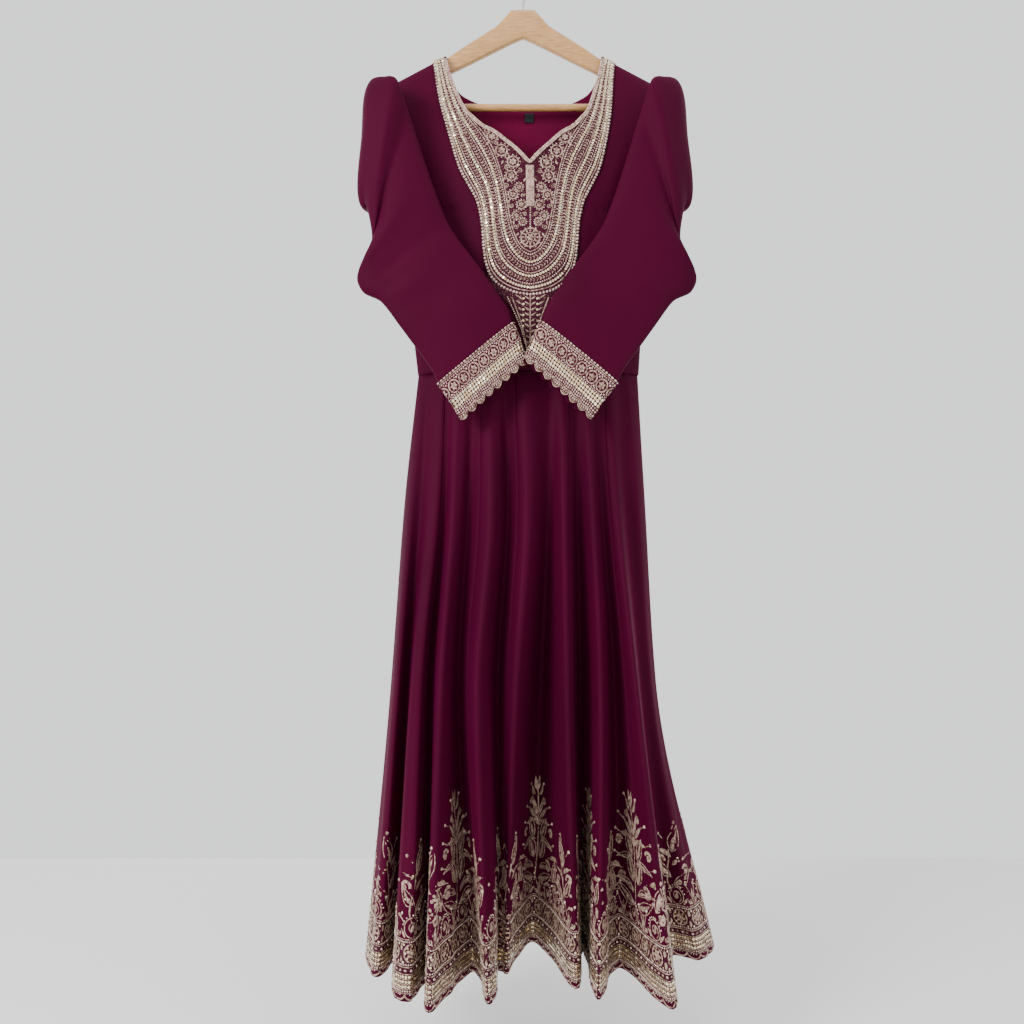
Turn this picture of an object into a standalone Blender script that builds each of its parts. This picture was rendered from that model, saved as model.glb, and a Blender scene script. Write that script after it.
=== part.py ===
"""Anarkali gown with embroidered yoke and cuffs, hung on a wooden hanger. Sizes in metres, +Z up.

The origin is the point where the hanger's hook bears on what carries it. +X is to the right and
-Y is the side that shows. Cloth is built as open sheets from rings and tables, then thickened.
"""

import math

import bmesh
import bpy
import numpy as np

MM = 0.001

# Cloth
CLOTH = 1.4 * MM
EMBROIDERED = 1.0 * MM
SEAM_GAP = 0.3 * MM
LAID_GAP = 0.9 * MM
SLEEVE_GAP = 1.9 * MM
WELD = 0.01 * MM

# Wooden hanger with a steel hook
WOOD_HALF_DEPTH = 7.0 * MM
WOOD_ROUNDING = 4.0 * MM
BAR_RADIUS = 5.5 * MM
BAR_HEIGHT = -208 * MM
BAR_HALF_LENGTH = 189.4 * MM
HOOK_WIRE = 1.8 * MM
HOOK_RADIUS = 20 * MM
HOOK_SEAT = -62 * MM
CLOTH_OVER_WOOD = 1.8 * MM

# Heights of the bodice
SHOULDER_TIP = 190 * MM
UNDERARM = -372 * MM
ARMHOLE_HALF_DEPTH = 28 * MM
WAIST = -612 * MM
LENS_POWER = 2.6
LENS_FALL = 0.8

# Skirt
HEIGHTS = (-612.7, -800, -1072, -1476)
SKIRT_ROWS = (0.0, 0.05, 0.12, 0.217, 0.32, 0.43, 0.532, 0.64, 0.76, 0.88, 1.0)
SAMPLES = 4
WAIST_FOLD = 2.0

# Sleeves and cuffs
SLEEVE_COLUMNS = 20
EDGE_CLOSER = 0.2
SCALLOPS = 16
SCALLOP_DEPTH = 6 * MM
CUFF_HALF_SCALLOP = 4

# Label
LABEL_SIDE = 14 * MM
LABEL_CENTRE = (10 * MM, -215 * MM)

WINE = (0.105, 0.006, 0.028, 1)
WINE_INSIDE = (0.17, 0.012, 0.045, 1)
GOLD_THREAD = (0.45, 0.30, 0.20, 1)
HONEY_WOOD = (0.55, 0.33, 0.15, 1)
STEEL = (0.6, 0.6, 0.6, 1)
BLACK_TAPE = (0.01, 0.01, 0.012, 1)

# Outline of the wood from the middle outwards: distance from the middle, height, in mm.
WOOD_TOP = ((0, -62), (18, -62.5), (39, -86), (91, -119), (116, -136), (190, -174.5), (205, -183.5))
WOOD_END = ((213, -193), (214, -202), (211, -212), (205, -217), (198, -218), (190, -218))
WOOD_UNDER = ((190, -198), (150, -177), (80, -143), (18, -112), (0, -104))

# Bodice: height, half width, the middle between its side seams and the axis of its neck, in mm.
BODY = (
    (-60, 190, 0, 0),
    (-174, 190, 1, 2),
    (-273, 180, 2, 8),
    (-372, 184, 3, 10),
    (-498, 175, 5, 10),
    (-612, 165, 8, 9),
)
# How far the front and the back stand from the hanger's plane, by the drop below the shoulder.
DROP = (0, 1, 3, 8, 30, 80, 150, 220, 300, 450, 620)
FRONT_DEPTH = (0.15, 5.4, 8.6, 10.6, 13, 21, 34, 45, 52, 56, 56)
BACK_DEPTH = (0.15, 5.4, 8.6, 10.6, 12.6, 16, 22, 27, 32, 35, 35)

# Half width of the neck opening by height, in mm, in front and behind.
NECK_FRONT = (
    (0, -306),
    (13, -291),
    (29, -276),
    (49, -258),
    (64, -249),
    (78, -235),
    (87, -225),
    (98, -200),
    (108, -170),
    (116, -136),
)
NECK_BACK = ((0, -204), (35, -202), (70, -195), (98, -180), (110, -160), (116, -136))

# Half width of the embroidered yoke by height, in mm, down to the point of its tail.
YOKE = (
    (-136, 137),
    (-212, 129),
    (-265, 118),
    (-316, 104),
    (-340, 92),
    (-367, 79),
    (-396, 73),
    (-444, 69),
    (-469, 65),
    (-491, 57),
    (-510, 40),
    (-529, 24),
    (-570, 9),
    (-590, 4),
)
BINDING_WIDTH = 5.5 * MM
BINDING_END = 9 * MM
PLACKET = (12 * MM, -314 * MM, -375 * MM)

# Where each fold of the skirt lies: across at the waist, then across and depth at the hip, the
# knee and the hem, in mm. The rows go from the left side round the front and back behind.
FOLDS = (
    ("side_left", -157, -177, -6, -196, -18, -231, -34),
    ("crest_a", -149, -164, -38, -182, -70, -207, -92),
    ("valley_a", -140, -150, -36, -168, -46, -187, -42),
    ("crest_b_left", -129, -136, -50, -158, -90, -177, -146),
    ("crest_b_right", -119, -124, -54, -144, -90, -152, -156),
    ("valley_b", -109, -113, -46, -134, -52, -135, -96),
    ("crest_c", -98, -102, -66, -119, -106, -128, -188),
    ("face_c", -86, -90, -62, -106, -90, -101, -134),
    ("valley_c", -72, -78, -48, -94, -54, -71, -74),
    ("crest_d", -50, -48, -76, -67, -112, -48, -165),
    ("edge_d", -38, -34, -66, -52, -92, -39, -138),
    ("valley_d", -26, -21, -48, -37, -52, -38, -70),
    ("crest_e", 4, 6, -80, -10, -100, -24, -80),
    ("valley_e", 38, 36, -48, 27, -22, 17, 22),
    ("crest_f", 58, 58, -74, 60, -106, 72, -123),
    ("valley_f", 76, 79, -48, 84, -36, 90, -2),
    ("crest_g", 92, 99, -70, 107, -104, 99, -153),
    ("valley_g", 108, 114, -46, 132, -52, 139, -62),
    ("crest_h", 126, 136, -58, 158, -108, 196, -179),
    ("valley_h", 142, 153, -30, 172, -38, 221, -24),
    ("crest_i", 156, 170, -26, 188, -30, 257, -38),
    ("side_right", 172, 183, 0, 199, -2, 288, 2),
    ("back_1", 160, 170, 20, 186, 22, 266, 38),
    ("back_2", 142, 148, 18, 164, 6, 236, 10),
    ("back_3", 120, 124, 36, 142, 42, 202, 44),
    ("back_4", 102, 106, 24, 120, 10, 162, 2),
    ("back_5", 80, 84, 40, 96, 43, 122, 44),
    ("back_6", 60, 62, 28, 72, 16, 88, 22),
    ("back_7", 36, 36, 42, 42, 44, 46, 46),
    ("back_8", 14, 12, 30, 12, 22, 14, 36),
    ("back_9", -10, -14, 42, -18, 44, -22, 46),
    ("back_10", -34, -38, 28, -46, 14, -56, 6),
    ("back_11", -58, -64, 40, -76, 43, -92, 44),
    ("back_12", -80, -86, 26, -100, 12, -122, 0),
    ("back_13", -102, -108, 36, -124, 40, -152, 42),
    ("back_14", -120, -128, 20, -144, 8, -178, -2),
    ("back_15", -138, -148, 22, -164, 24, -206, 30),
    ("back_16", -150, -166, 10, -184, 8, -225, 6),
)
# The fold rows after which a kali ends: its seam runs down the middle of that fold's flank.
FRONT_SEAMS = ("crest_b_right", "valley_c", "valley_d", "crest_f", "valley_g")
BACK_SEAMS = ("back_3", "back_6", "back_8", "back_11", "back_13")

# Left sleeve, from its fold beside the armhole to the mouth: the upper and the lower edge of the
# flat tube (across, height), how far forward its middle lies, its half depth, how blunt its edges are.
SLEEVE = (
    ("turned", -186, -196, -225, -416, 55, 20, 0.7),
    ("upper", -170, -250, -233, -442, 60, 19, 0.7),
    ("elbow", -142, -330, -240, -464, 66, 18, 0.7),
    ("elbow_low", -116, -398, -230, -494, 70, 17, 0.7),
    ("forearm_top", -93, -436, -208, -516, 74, 15, 0.65),
    ("forearm", -68, -470, -180, -553, 78, 13, 0.6),
    ("wrist", -30, -526, -140, -608, 81, 12, 0.6),
    ("cuff_top", -22, -549, -125, -633, 82, 11, 0.6),
    ("cuff_middle", -11, -575, -107, -658, 82, 10.5, 0.6),
    ("mouth", -1, -602, -90, -683, 82, 10, 0.6),
)
# The sleeve is folded forward over the bodice, turning about an upright line beside the armhole.
FOLD_TURNS = (0, 14, 32, 58, 88, 120, 150)
FOLD_RADIUS = 3 * MM
FOLD_TOP = (-172.7, -190)
FOLD_BOTTOM = (-372, -408)
FOLD_LEAN = (0, 30)
FOLD_HALF_DEPTH = (28, 20)
FOLD_BLUNT = (1.0, 0.78, 0.66, 0.66, 0.7, 0.7, 0.7)
CUFF_DRIFT = 3 * MM
RIGHT_OVER_LEFT = 18 * MM
CUFF_FROM = 7


# Helpers for curves and sheets


def smooth_through(places, values, at):
    """Value at a place on the curve through the given points that never overshoots them."""
    places = np.asarray(places, float)
    values = np.asarray(values, float)
    if places[0] > places[-1]:
        places, values = places[::-1], values[::-1]
    widths = np.diff(places)
    slopes = np.diff(values) / widths
    bends = np.zeros(len(places))
    bends[0], bends[-1] = slopes[0], slopes[-1]
    for i in range(1, len(places) - 1):
        if slopes[i - 1] * slopes[i] > 0:
            first = 2 * widths[i] + widths[i - 1]
            second = widths[i] + 2 * widths[i - 1]
            bends[i] = (first + second) / (first / slopes[i - 1] + second / slopes[i])
    at = min(max(at, places[0]), places[-1])
    i = int(min(max(np.searchsorted(places, at) - 1, 0), len(widths) - 1))
    t = (at - places[i]) / widths[i]
    return (
        (1 + 2 * t) * (1 - t) ** 2 * values[i]
        + t * (1 - t) ** 2 * widths[i] * bends[i]
        + t * t * (3 - 2 * t) * values[i + 1]
        + t * t * (t - 1) * widths[i] * bends[i + 1]
    )


def table(rows, key, value, at):
    """Looks a length in metres up in a table in mm."""
    return smooth_through([row[key] for row in rows], [row[value] for row in rows], at / MM) * MM


def material(name, colour, roughness, metallic=0.0):
    made = bpy.data.materials.new(name)
    made.use_nodes = True
    shader = made.node_tree.nodes["Principled BSDF"]
    shader.inputs["Base Color"].default_value = colour
    shader.inputs["Roughness"].default_value = roughness
    shader.inputs["Metallic"].default_value = metallic
    made.diffuse_color = colour
    return made


def place(piece, made_of, collection):
    piece.data.materials.append(made_of)
    for other in list(piece.users_collection):
        other.objects.unlink(piece)
    collection.objects.link(piece)
    return piece


def sheet(name, rows, made_of, collection, thickness, towards, around=False, slit=None):
    """A sheet through rows of points, thickened towards +1 its outer side or 0 both its sides.

    With a slit the columns on both sides of it join only where their points are the same.
    """
    mesh = bmesh.new()
    grid = [[mesh.verts.new(point) for point in row] for row in rows]
    columns = len(rows[0])
    for upper, lower in zip(grid, grid[1:]):
        for i in range(columns if around else columns - 1):
            j = (i + 1) % columns
            if j != slit:
                mesh.faces.new((upper[i], lower[i], lower[j], upper[j]))
    if slit:
        bmesh.ops.remove_doubles(mesh, verts=mesh.verts, dist=WELD)
    data = bpy.data.meshes.new(name)
    mesh.to_mesh(data)
    mesh.free()
    data.shade_smooth()
    piece = bpy.data.objects.new(name, data)
    wall = piece.modifiers.new("wall", "SOLIDIFY")
    wall.thickness = thickness
    wall.offset = towards
    return place(piece, made_of, collection)


# The bodice's own form


def shoulder_line(across):
    """Height of the cloth's inner side where it lies over the wood."""
    places = [row[0] * MM for row in WOOD_TOP]
    heights = [row[1] * MM for row in WOOD_TOP]
    return float(np.interp(abs(across), places, heights)) + CLOTH_OVER_WOOD


def half_width(height):
    return table(BODY, 0, 1, height)


def middle(height):
    return table(BODY, 0, 2, height)


def axis(height):
    return table(BODY, 0, 3, height)


ARMHOLE_TOP = shoulder_line(SHOULDER_TIP)
ARMHOLE_MIDDLE = (ARMHOLE_TOP + UNDERARM) / 2
ARMHOLE_HALF_HEIGHT = (ARMHOLE_TOP - UNDERARM) / 2


def armhole_depth(drop, height):
    """Half of the armhole's depth, by the drop from the shoulder in its upper half."""
    if height > ARMHOLE_MIDDLE:
        part = max(0.0, 1 - drop / ARMHOLE_HALF_HEIGHT)
    else:
        part = (ARMHOLE_MIDDLE - height) / ARMHOLE_HALF_HEIGHT
    return ARMHOLE_HALF_DEPTH * math.sqrt(max(0.0, 1 - part * part))


def body_depth(across, height, depths):
    """How far the inner side of the bodice stands from the hanger's plane."""
    part = min(1.0, abs(across - middle(height)) / half_width(height))
    drop = max(0.0, shoulder_line(across) - height)
    depth = smooth_through(DROP, depths, drop / MM) * MM
    edge = armhole_depth(drop, height)
    fall = (1 - part**LENS_POWER) ** LENS_FALL
    return max(edge + (depth - edge) * fall, SEAM_GAP / 2)


def front_point(across, height, lift=0.0):
    """A point on the front's inner side, moved out along its normal."""
    step = 0.5 * MM
    depth = body_depth(across, height, FRONT_DEPTH)
    if not lift:
        return (across, -depth, height)
    right = body_depth(across + step, height, FRONT_DEPTH)
    left = body_depth(across - step, height, FRONT_DEPTH)
    above = body_depth(across, height + step, FRONT_DEPTH)
    below = body_depth(across, height - step, FRONT_DEPTH)
    normal = np.array((-(right - left) / (2 * step), -1.0, -(above - below) / (2 * step)))
    normal /= np.linalg.norm(normal)
    return tuple(np.array((across, -depth, height)) + lift * normal)


def back_point(across, height, lift=0.0):
    return (across, body_depth(across, height, BACK_DEPTH) + lift, height)


def strip_place(part, drop, neck, outer):
    """Where a strip from the neck edge (0) to its outer edge (1) has its point in a row.

    A row starts as far below the shoulder as its drop says, and is level from the neck's point down.
    """
    deepest = -neck[0][1] * MM + NECK_CORNER_HEIGHT
    slant = max(0.0, 1 - drop / deepest)
    height = NECK_CORNER_HEIGHT - drop
    for _ in range(12):
        inner = 0.0 if slant == 0 else neck_half_width(height, neck)
        across = inner + (outer(height) - inner) * part
        height = NECK_CORNER_HEIGHT - drop
        height += slant * (shoulder_line(across) - NECK_CORNER_HEIGHT)
    return across, height


def neck_half_width(height, neck):
    return table(neck, 1, 0, height)


NECK_CORNER = NECK_FRONT[-1][0] * MM
NECK_CORNER_HEIGHT = shoulder_line(NECK_CORNER)
BODICE_COLUMNS = (0, 0.16, 0.32, 0.47, 0.61, 0.74, 0.85, 0.93, 0.98, 1)
FRONT_DROPS = (0, 1, 3, 8, 25, 50, 74, 92, 104, 114, 126, 140, 155)
FRONT_LEVELS = (-306, -330, -350, -364, -372, -395, -430, -480, -545, -612)
BACK_DROPS = (0, 1.5, 4, 9, 22, 38, 51, 61)
BACK_LEVELS = (-204, -232, -262, -296, -330, -350, -364, -372, -395, -430, -480, -545, -612)


def two_strips(columns, drops, levels, neck, outer, centre, point):
    """Rows of points for a left and a right strip, which meet below the neck's lowest point."""
    drops = [drop * MM for drop in drops]
    drops += [NECK_CORNER_HEIGHT - level * MM for level in levels]
    rows = []
    for drop in drops:
        row = []
        for side in (-1, 1):
            for part in columns[::side]:
                across, height = strip_place(part, drop, neck, outer)
                row.append(point(centre(side, part, across, height), height))
        rows.append(row)
    return rows


def bodice_place(side, part, across, height):
    """Across in the world, so that the neck keeps its axis and the side seams keep theirs."""
    return axis(height) * (1 - part) + middle(height) * part + side * across


def build_bodice(cloth, inside, collection):
    slit = len(BODICE_COLUMNS)
    cut = (BODICE_COLUMNS, FRONT_DROPS, FRONT_LEVELS, NECK_FRONT)
    rows = two_strips(*cut, half_width, bodice_place, front_point)
    sheet("bodice_front", rows, cloth, collection, CLOTH, 1, slit=slit)
    cut = (BODICE_COLUMNS, BACK_DROPS, BACK_LEVELS, NECK_BACK)
    rows = two_strips(*cut, half_width, bodice_place, back_point)
    rows = [row[::-1] for row in rows]
    sheet("bodice_back", rows, inside, collection, CLOTH, 1, slit=slit)


# Embroidered yoke with its neck binding and the strip below the neck's point


YOKE_COLUMNS = (0, 0.25, 0.5, 0.75, 1)
YOKE_DROPS = (3, 8, 25, 50, 74, 92, 104, 114, 126, 140, 155)
YOKE_LEVELS = (-306, -330, -350, -364, -372, -395, -430, -455, -480, -495, -512, -529, -548, -570, -590)
YOKE_LIFT = CLOTH + LAID_GAP


def yoke_half_width(height):
    return table(YOKE, 0, 1, height)


def yoke_place(side, part, across, height):
    return axis(height) + side * across


def yoke_point(across, height):
    return front_point(across, height, YOKE_LIFT)


def build_yoke(thread, collection):
    cut = (YOKE_COLUMNS, YOKE_DROPS, YOKE_LEVELS, NECK_FRONT)
    rows = two_strips(*cut, yoke_half_width, yoke_place, yoke_point)
    sheet("yoke_panel", rows, thread, collection, EMBROIDERED, 1, slit=len(YOKE_COLUMNS))


def neckline(count):
    """Points down the left of the front neckline, round its point and up the right."""
    top = NECK_CORNER_HEIGHT - BINDING_END
    bottom = NECK_FRONT[0][1] * MM
    heights = [top + (bottom - top) * (i / count) ** 0.8 for i in range(count + 1)]
    right = [(neck_half_width(height, NECK_FRONT), height) for height in heights]
    left = [(-across, height) for across, height in right]
    return np.array(left + right[-2::-1])


def build_binding(thread, collection):
    line = neckline(22)
    ways = np.gradient(line, axis=0)
    ways /= np.linalg.norm(ways, axis=1)[:, None]
    down = np.stack([ways[:, 1], -ways[:, 0]], axis=1)
    down[:, 1] = -np.abs(down[:, 1])
    lift = YOKE_LIFT + EMBROIDERED + LAID_GAP
    rows = []
    for across_band in (0.0, 0.5, 1.0):
        row = []
        for (across, height), way in zip(line, down):
            side = math.copysign(1, across) if across else 0
            way = np.array((abs(way[0]) * side, way[1]))
            spot = np.array((across, height)) + way * BINDING_WIDTH * across_band
            row.append(front_point(axis(spot[1]) + spot[0], spot[1], lift))
        rows.append(row)
    sheet("neck_binding", rows, thread, collection, EMBROIDERED, 1)


def build_placket(thread, collection):
    width, top, bottom = PLACKET
    lift = YOKE_LIFT + EMBROIDERED + LAID_GAP
    rows = []
    for down in np.linspace(0, 1, 9):
        height = top + (bottom - top) * down
        row = [
            front_point(axis(height) + side * width / 2, height, lift)
            for side in (-1, -0.5, 0, 0.5, 1)
        ]
        rows.append(row)
    sheet("placket_strip", rows, thread, collection, EMBROIDERED, 1)


def build_label(tape, collection):
    across, height = LABEL_CENTRE
    rows = []
    for down in (0.5, 0, -0.5):
        level = height + down * LABEL_SIDE
        row = [
            back_point(across + side * LABEL_SIDE, level, -LAID_GAP) for side in (-0.5, 0, 0.5)
        ]
        rows.append(row)
    sheet("size_label", rows, tape, collection, 0.9 * MM, 1)


# Sleeves, each a flat hanging tube with an embroidered band round its mouth


def sleeve_ring(row, angle, side):
    """A point of a sleeve's section: 0 at its upper edge, a quarter turn on its side by the body."""
    name, upper_x, upper_z, lower_x, lower_z, forward, half_depth, blunt = row
    upper = np.array((upper_x, upper_z)) * MM
    lower = np.array((lower_x, lower_z)) * MM
    along, out = math.cos(angle), math.sin(angle)
    spot = (upper + lower) / 2 + (upper - lower) / 2 * along
    part = (SLEEVE_NAMES.index(name) / (len(SLEEVE) - 1)) ** 2
    height = spot[1]
    across = -side * spot[0] + middle(height) * (1 - part) + CUFF_DRIFT * part
    bulge = math.copysign(abs(out) ** blunt, out)
    forward = forward * MM - bulge * half_depth * MM
    if side > 0:
        forward += RIGHT_OVER_LEFT * part
    return (across, -forward, height)


SLEEVE_NAMES = [row[0] for row in SLEEVE]


def fold_ring(degrees, blunt, angle, side):
    """A point of the sleeve where it turns forward: at 0 degrees its ring is the armhole's own."""
    turn = math.radians(degrees)
    part = degrees / 180

    def between(ends):
        return (ends[0] + (ends[1] - ends[0]) * part) * MM

    top, bottom = between(FOLD_TOP), between(FOLD_BOTTOM)
    height = (top + bottom) / 2 + (top - bottom) / 2 * math.cos(angle)
    bulge = math.copysign(abs(math.sin(angle)) ** blunt, math.sin(angle))
    reach = FOLD_RADIUS + between(FOLD_HALF_DEPTH) * (1 - bulge)
    out = reach * math.sin(turn) + between(FOLD_LEAN) * (1 - math.cos(angle)) / 2
    across = middle(height) + side * (half_width(height) + SLEEVE_GAP + out)
    return (across, reach * math.cos(turn) - ARMHOLE_HALF_DEPTH - FOLD_RADIUS, height)


def around(side, count):
    """Angles once round a sleeve, in the order that turns its outer side out."""
    turn = [2 * math.pi * i / count for i in range(count)]
    turn = [angle - EDGE_CLOSER * math.sin(2 * angle) for angle in turn]
    return turn if side < 0 else turn[::-1]


def even_angles(row, side, count):
    """Angles that divide a section's girth into equal lengths."""
    fine = np.linspace(0, 2 * math.pi, 721)
    points = np.array([sleeve_ring(row, angle, side) for angle in fine])
    lengths = np.concatenate([[0], np.cumsum(np.linalg.norm(np.diff(points, axis=0), axis=1))])
    angles = np.interp(np.arange(count) / count * lengths[-1], lengths, fine)
    return angles if side < 0 else angles[::-1]


def build_sleeve(side, name, cloth, collection):
    angles = around(side, SLEEVE_COLUMNS)
    rows = [
        [fold_ring(turn, blunt, angle, side) for angle in angles]
        for turn, blunt in zip(FOLD_TURNS, FOLD_BLUNT)
    ]
    rows += [[sleeve_ring(row, angle, side) for angle in angles] for row in SLEEVE]
    sheet(name, rows, cloth, collection, CLOTH, 1, around=True)


def build_cuff(side, name, thread, collection):
    """The band lies on the sleeve's end, made from its rings moved out, and ends in scallops."""
    count = SCALLOPS * CUFF_HALF_SCALLOP
    angles = even_angles(SLEEVE[-1], side, count)
    rings = [
        np.array([sleeve_ring(row, angle, side) for angle in angles]) for row in SLEEVE[CUFF_FROM:]
    ]
    centre = [ring.mean(axis=0) for ring in rings]
    ends = centre[-1] - centre[0]
    ends /= np.linalg.norm(ends)
    rows = []
    for ring, heart in zip(rings, centre):
        tangent = np.roll(ring, -1, axis=0) - np.roll(ring, 1, axis=0)
        out = np.cross(tangent, ends)
        out /= np.linalg.norm(out, axis=1)[:, None]
        if np.sum(out * (ring - heart)) < 0:
            out = -out
        rows.append(ring + out * (CLOTH + LAID_GAP))
    waves = np.abs(np.sin(np.pi * np.arange(count) / CUFF_HALF_SCALLOP))
    rows[-1] = rows[-1] + ends * (SCALLOP_DEPTH * waves)[:, None]
    sheet(name, rows, thread, collection, EMBROIDERED, 1, around=True)


# Skirt of kalis, whose seams run down the flanks of its folds


def waist_depth(across, name):
    """Depth of the skirt's ring at the waist, from the bodice's own section."""
    behind = name.startswith("back")
    if name.startswith("side"):
        return 0.0
    depth = body_depth(across, WAIST, BACK_DEPTH if behind else FRONT_DEPTH) + CLOTH / 2
    if not behind:
        depth = -depth
        return depth + (WAIST_FOLD * MM if name.startswith("valley") else 0.0)
    return depth


def fold_places(height):
    """Where every fold lies at a height, in the order of the table."""
    spots = []
    for name, waist, hip_x, hip_y, knee_x, knee_y, hem_x, hem_y in FOLDS:
        across = smooth_through(HEIGHTS, (waist, hip_x, knee_x, hem_x), height / MM)
        first = waist_depth(waist * MM, name) / MM
        depth = smooth_through(HEIGHTS, (first, hip_y, knee_y, hem_y), height / MM)
        spots.append((across * MM, depth * MM))
    return np.array(spots)


def skirt_ring(height, samples):
    """The closed curve of the cloth at a height, with as many points in each stretch as samples."""
    spots = fold_places(height)
    before, after = np.roll(spots, 1, axis=0), np.roll(spots, -1, axis=0)
    later = np.roll(spots, -2, axis=0)
    points = []
    for a, b, c, d in zip(before, spots, after, later):
        for i in range(samples):
            t = i / samples
            start = (c - a) / 2
            end = (d - b) / 2
            span = np.linalg.norm(c - b)
            start = start * min(1.0, span / max(np.linalg.norm(start), 1e-9))
            end = end * min(1.0, span / max(np.linalg.norm(end), 1e-9))
            points.append(
                (2 * t**3 - 3 * t**2 + 1) * b
                + (t**3 - 2 * t**2 + t) * start
                + (-2 * t**3 + 3 * t**2) * c
                + (t**3 - t**2) * end
            )
    return np.array(points)


def build_skirt(cloth, collection):
    names = [row[0] for row in FOLDS]
    top, bottom = HEIGHTS[0] * MM, HEIGHTS[-1] * MM
    levels = [top + (bottom - top) * down for down in SKIRT_ROWS]
    rings = [skirt_ring(level, SAMPLES) for level in levels]
    count = len(rings[0])
    half = SAMPLES // 2

    def cut(name):
        return names.index(name) * SAMPLES + half

    sides = [cut("back_16"), cut("side_right")]
    front = [sides[0] - count] + [cut(name) for name in FRONT_SEAMS] + [sides[1]]
    back = [sides[1]] + [cut(name) for name in BACK_SEAMS] + [sides[0]]
    for label, seams in (("front", front), ("back", back)):
        for number, (start, end) in enumerate(zip(seams, seams[1:]), 1):
            rows = []
            for level, ring in zip(levels, rings):
                points = ring[np.arange(start, end + 1) % count].copy()
                for edge, inner in ((0, 1), (-1, -2)):
                    way = points[inner] - points[edge]
                    points[edge] += way / np.linalg.norm(way) * SEAM_GAP / 2
                rows.append([(x, y, level) for x, y in points])
            sheet(f"skirt_kali_{label}_{number}", rows, cloth, collection, CLOTH, 0)


# Wooden hanger


def build_hanger(wood, steel, collection):
    outline = bpy.data.curves.new("hanger_arms", "CURVE")
    outline.dimensions = "2D"
    outline.fill_mode = "BOTH"
    outline.extrude = WOOD_HALF_DEPTH - WOOD_ROUNDING
    outline.bevel_depth = WOOD_ROUNDING
    outline.bevel_resolution = 1
    outline.offset = -WOOD_ROUNDING
    half = list(WOOD_TOP) + list(WOOD_END) + list(WOOD_UNDER)
    loop = half + [(-across, height) for across, height in half[-2:0:-1]]
    line = outline.splines.new("POLY")
    line.points.add(len(loop) - 1)
    for point, (across, height) in zip(line.points, loop):
        point.co = (across * MM, height * MM, 0, 1)
    line.use_cyclic_u = True
    arms = bpy.data.objects.new("hanger_arms", outline)
    arms.rotation_euler = (math.radians(90), 0, 0)
    place(arms, wood, collection)

    bpy.ops.mesh.primitive_cylinder_add(
        vertices=16,
        radius=BAR_RADIUS,
        depth=2 * BAR_HALF_LENGTH,
        location=(0, 0, BAR_HEIGHT),
        rotation=(0, math.radians(90), 0),
    )
    bar = bpy.context.object
    bar.name = "hanger_bar"
    place(bar, wood, collection)

    wire = bpy.data.curves.new("hanger_hook", "CURVE")
    wire.dimensions = "3D"
    wire.bevel_depth = HOOK_WIRE
    wire.bevel_resolution = 2
    wire.use_fill_caps = True
    centre = HOOK_WIRE - HOOK_RADIUS
    route = [(0, HOOK_SEAT + SEAM_GAP), (0, -54 * MM), (0.4 * MM, -49 * MM), (3 * MM, -43.5 * MM)]
    route += [(7.5 * MM, -38.5 * MM)]
    for degrees in range(-48, 205, 12):
        turn = math.radians(degrees)
        route.append((HOOK_RADIUS * math.cos(turn), centre + HOOK_RADIUS * math.sin(turn)))
    line = wire.splines.new("POLY")
    line.points.add(len(route) - 1)
    for point, (across, height) in zip(line.points, route):
        point.co = (across, 0, height, 1)
    hook = bpy.data.objects.new("hanger_hook", wire)
    place(hook, steel, collection)


def main():
    for old in list(bpy.data.objects):
        bpy.data.objects.remove(old, do_unlink=True)
    collection = bpy.data.collections.new("anarkali_gown")
    bpy.context.scene.collection.children.link(collection)
    cloth = material("wine_georgette", WINE, 0.75)
    inside = material("wine_georgette_back", WINE_INSIDE, 0.8)
    thread = material("gold_embroidery", GOLD_THREAD, 0.5, 0.3)
    wood = material("honey_wood", HONEY_WOOD, 0.45)
    steel = material("hook_steel", STEEL, 0.3, 1.0)
    tape = material("black_tape", BLACK_TAPE, 0.8)
    build_bodice(cloth, inside, collection)
    build_yoke(thread, collection)
    build_binding(thread, collection)
    build_placket(thread, collection)
    build_label(tape, collection)
    for side, word in ((-1, "left"), (1, "right")):
        build_sleeve(side, f"sleeve_{word}", cloth, collection)
        build_cuff(side, f"cuff_band_{word}", thread, collection)
    build_skirt(cloth, collection)
    build_hanger(wood, steel, collection)


main()
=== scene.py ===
"""Anarkali gown on a wooden hanger: its looks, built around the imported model. Metres, +Z up.

The front faces -Y, +X is to the right, and the origin is the inside of the hook's top.
"""

import math

import bmesh
import bpy
import numpy as np
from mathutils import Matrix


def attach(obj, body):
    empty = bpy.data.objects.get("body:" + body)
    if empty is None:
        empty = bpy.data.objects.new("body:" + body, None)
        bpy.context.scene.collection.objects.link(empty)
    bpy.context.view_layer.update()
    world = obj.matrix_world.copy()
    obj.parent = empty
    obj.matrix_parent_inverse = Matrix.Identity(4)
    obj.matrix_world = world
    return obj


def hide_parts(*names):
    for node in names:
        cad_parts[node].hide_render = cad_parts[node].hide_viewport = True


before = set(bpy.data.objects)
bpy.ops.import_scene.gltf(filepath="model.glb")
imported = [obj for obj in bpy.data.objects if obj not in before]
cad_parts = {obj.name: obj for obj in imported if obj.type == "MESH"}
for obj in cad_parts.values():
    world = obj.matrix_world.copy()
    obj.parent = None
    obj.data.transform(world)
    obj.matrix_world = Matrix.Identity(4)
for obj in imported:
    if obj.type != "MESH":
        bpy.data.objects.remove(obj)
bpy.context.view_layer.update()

# Camera
# Level, straight in front, at the height of the gown's middle, as the photograph was taken.
# The angle is what the picture spans from edge to edge, in degrees.
CAMERA_ANGLE = 56.1
CAMERA_PLACE = (-0.0166, -1.45, -0.818)


def into_scene(made):
    bpy.context.scene.collection.objects.link(made)


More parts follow.
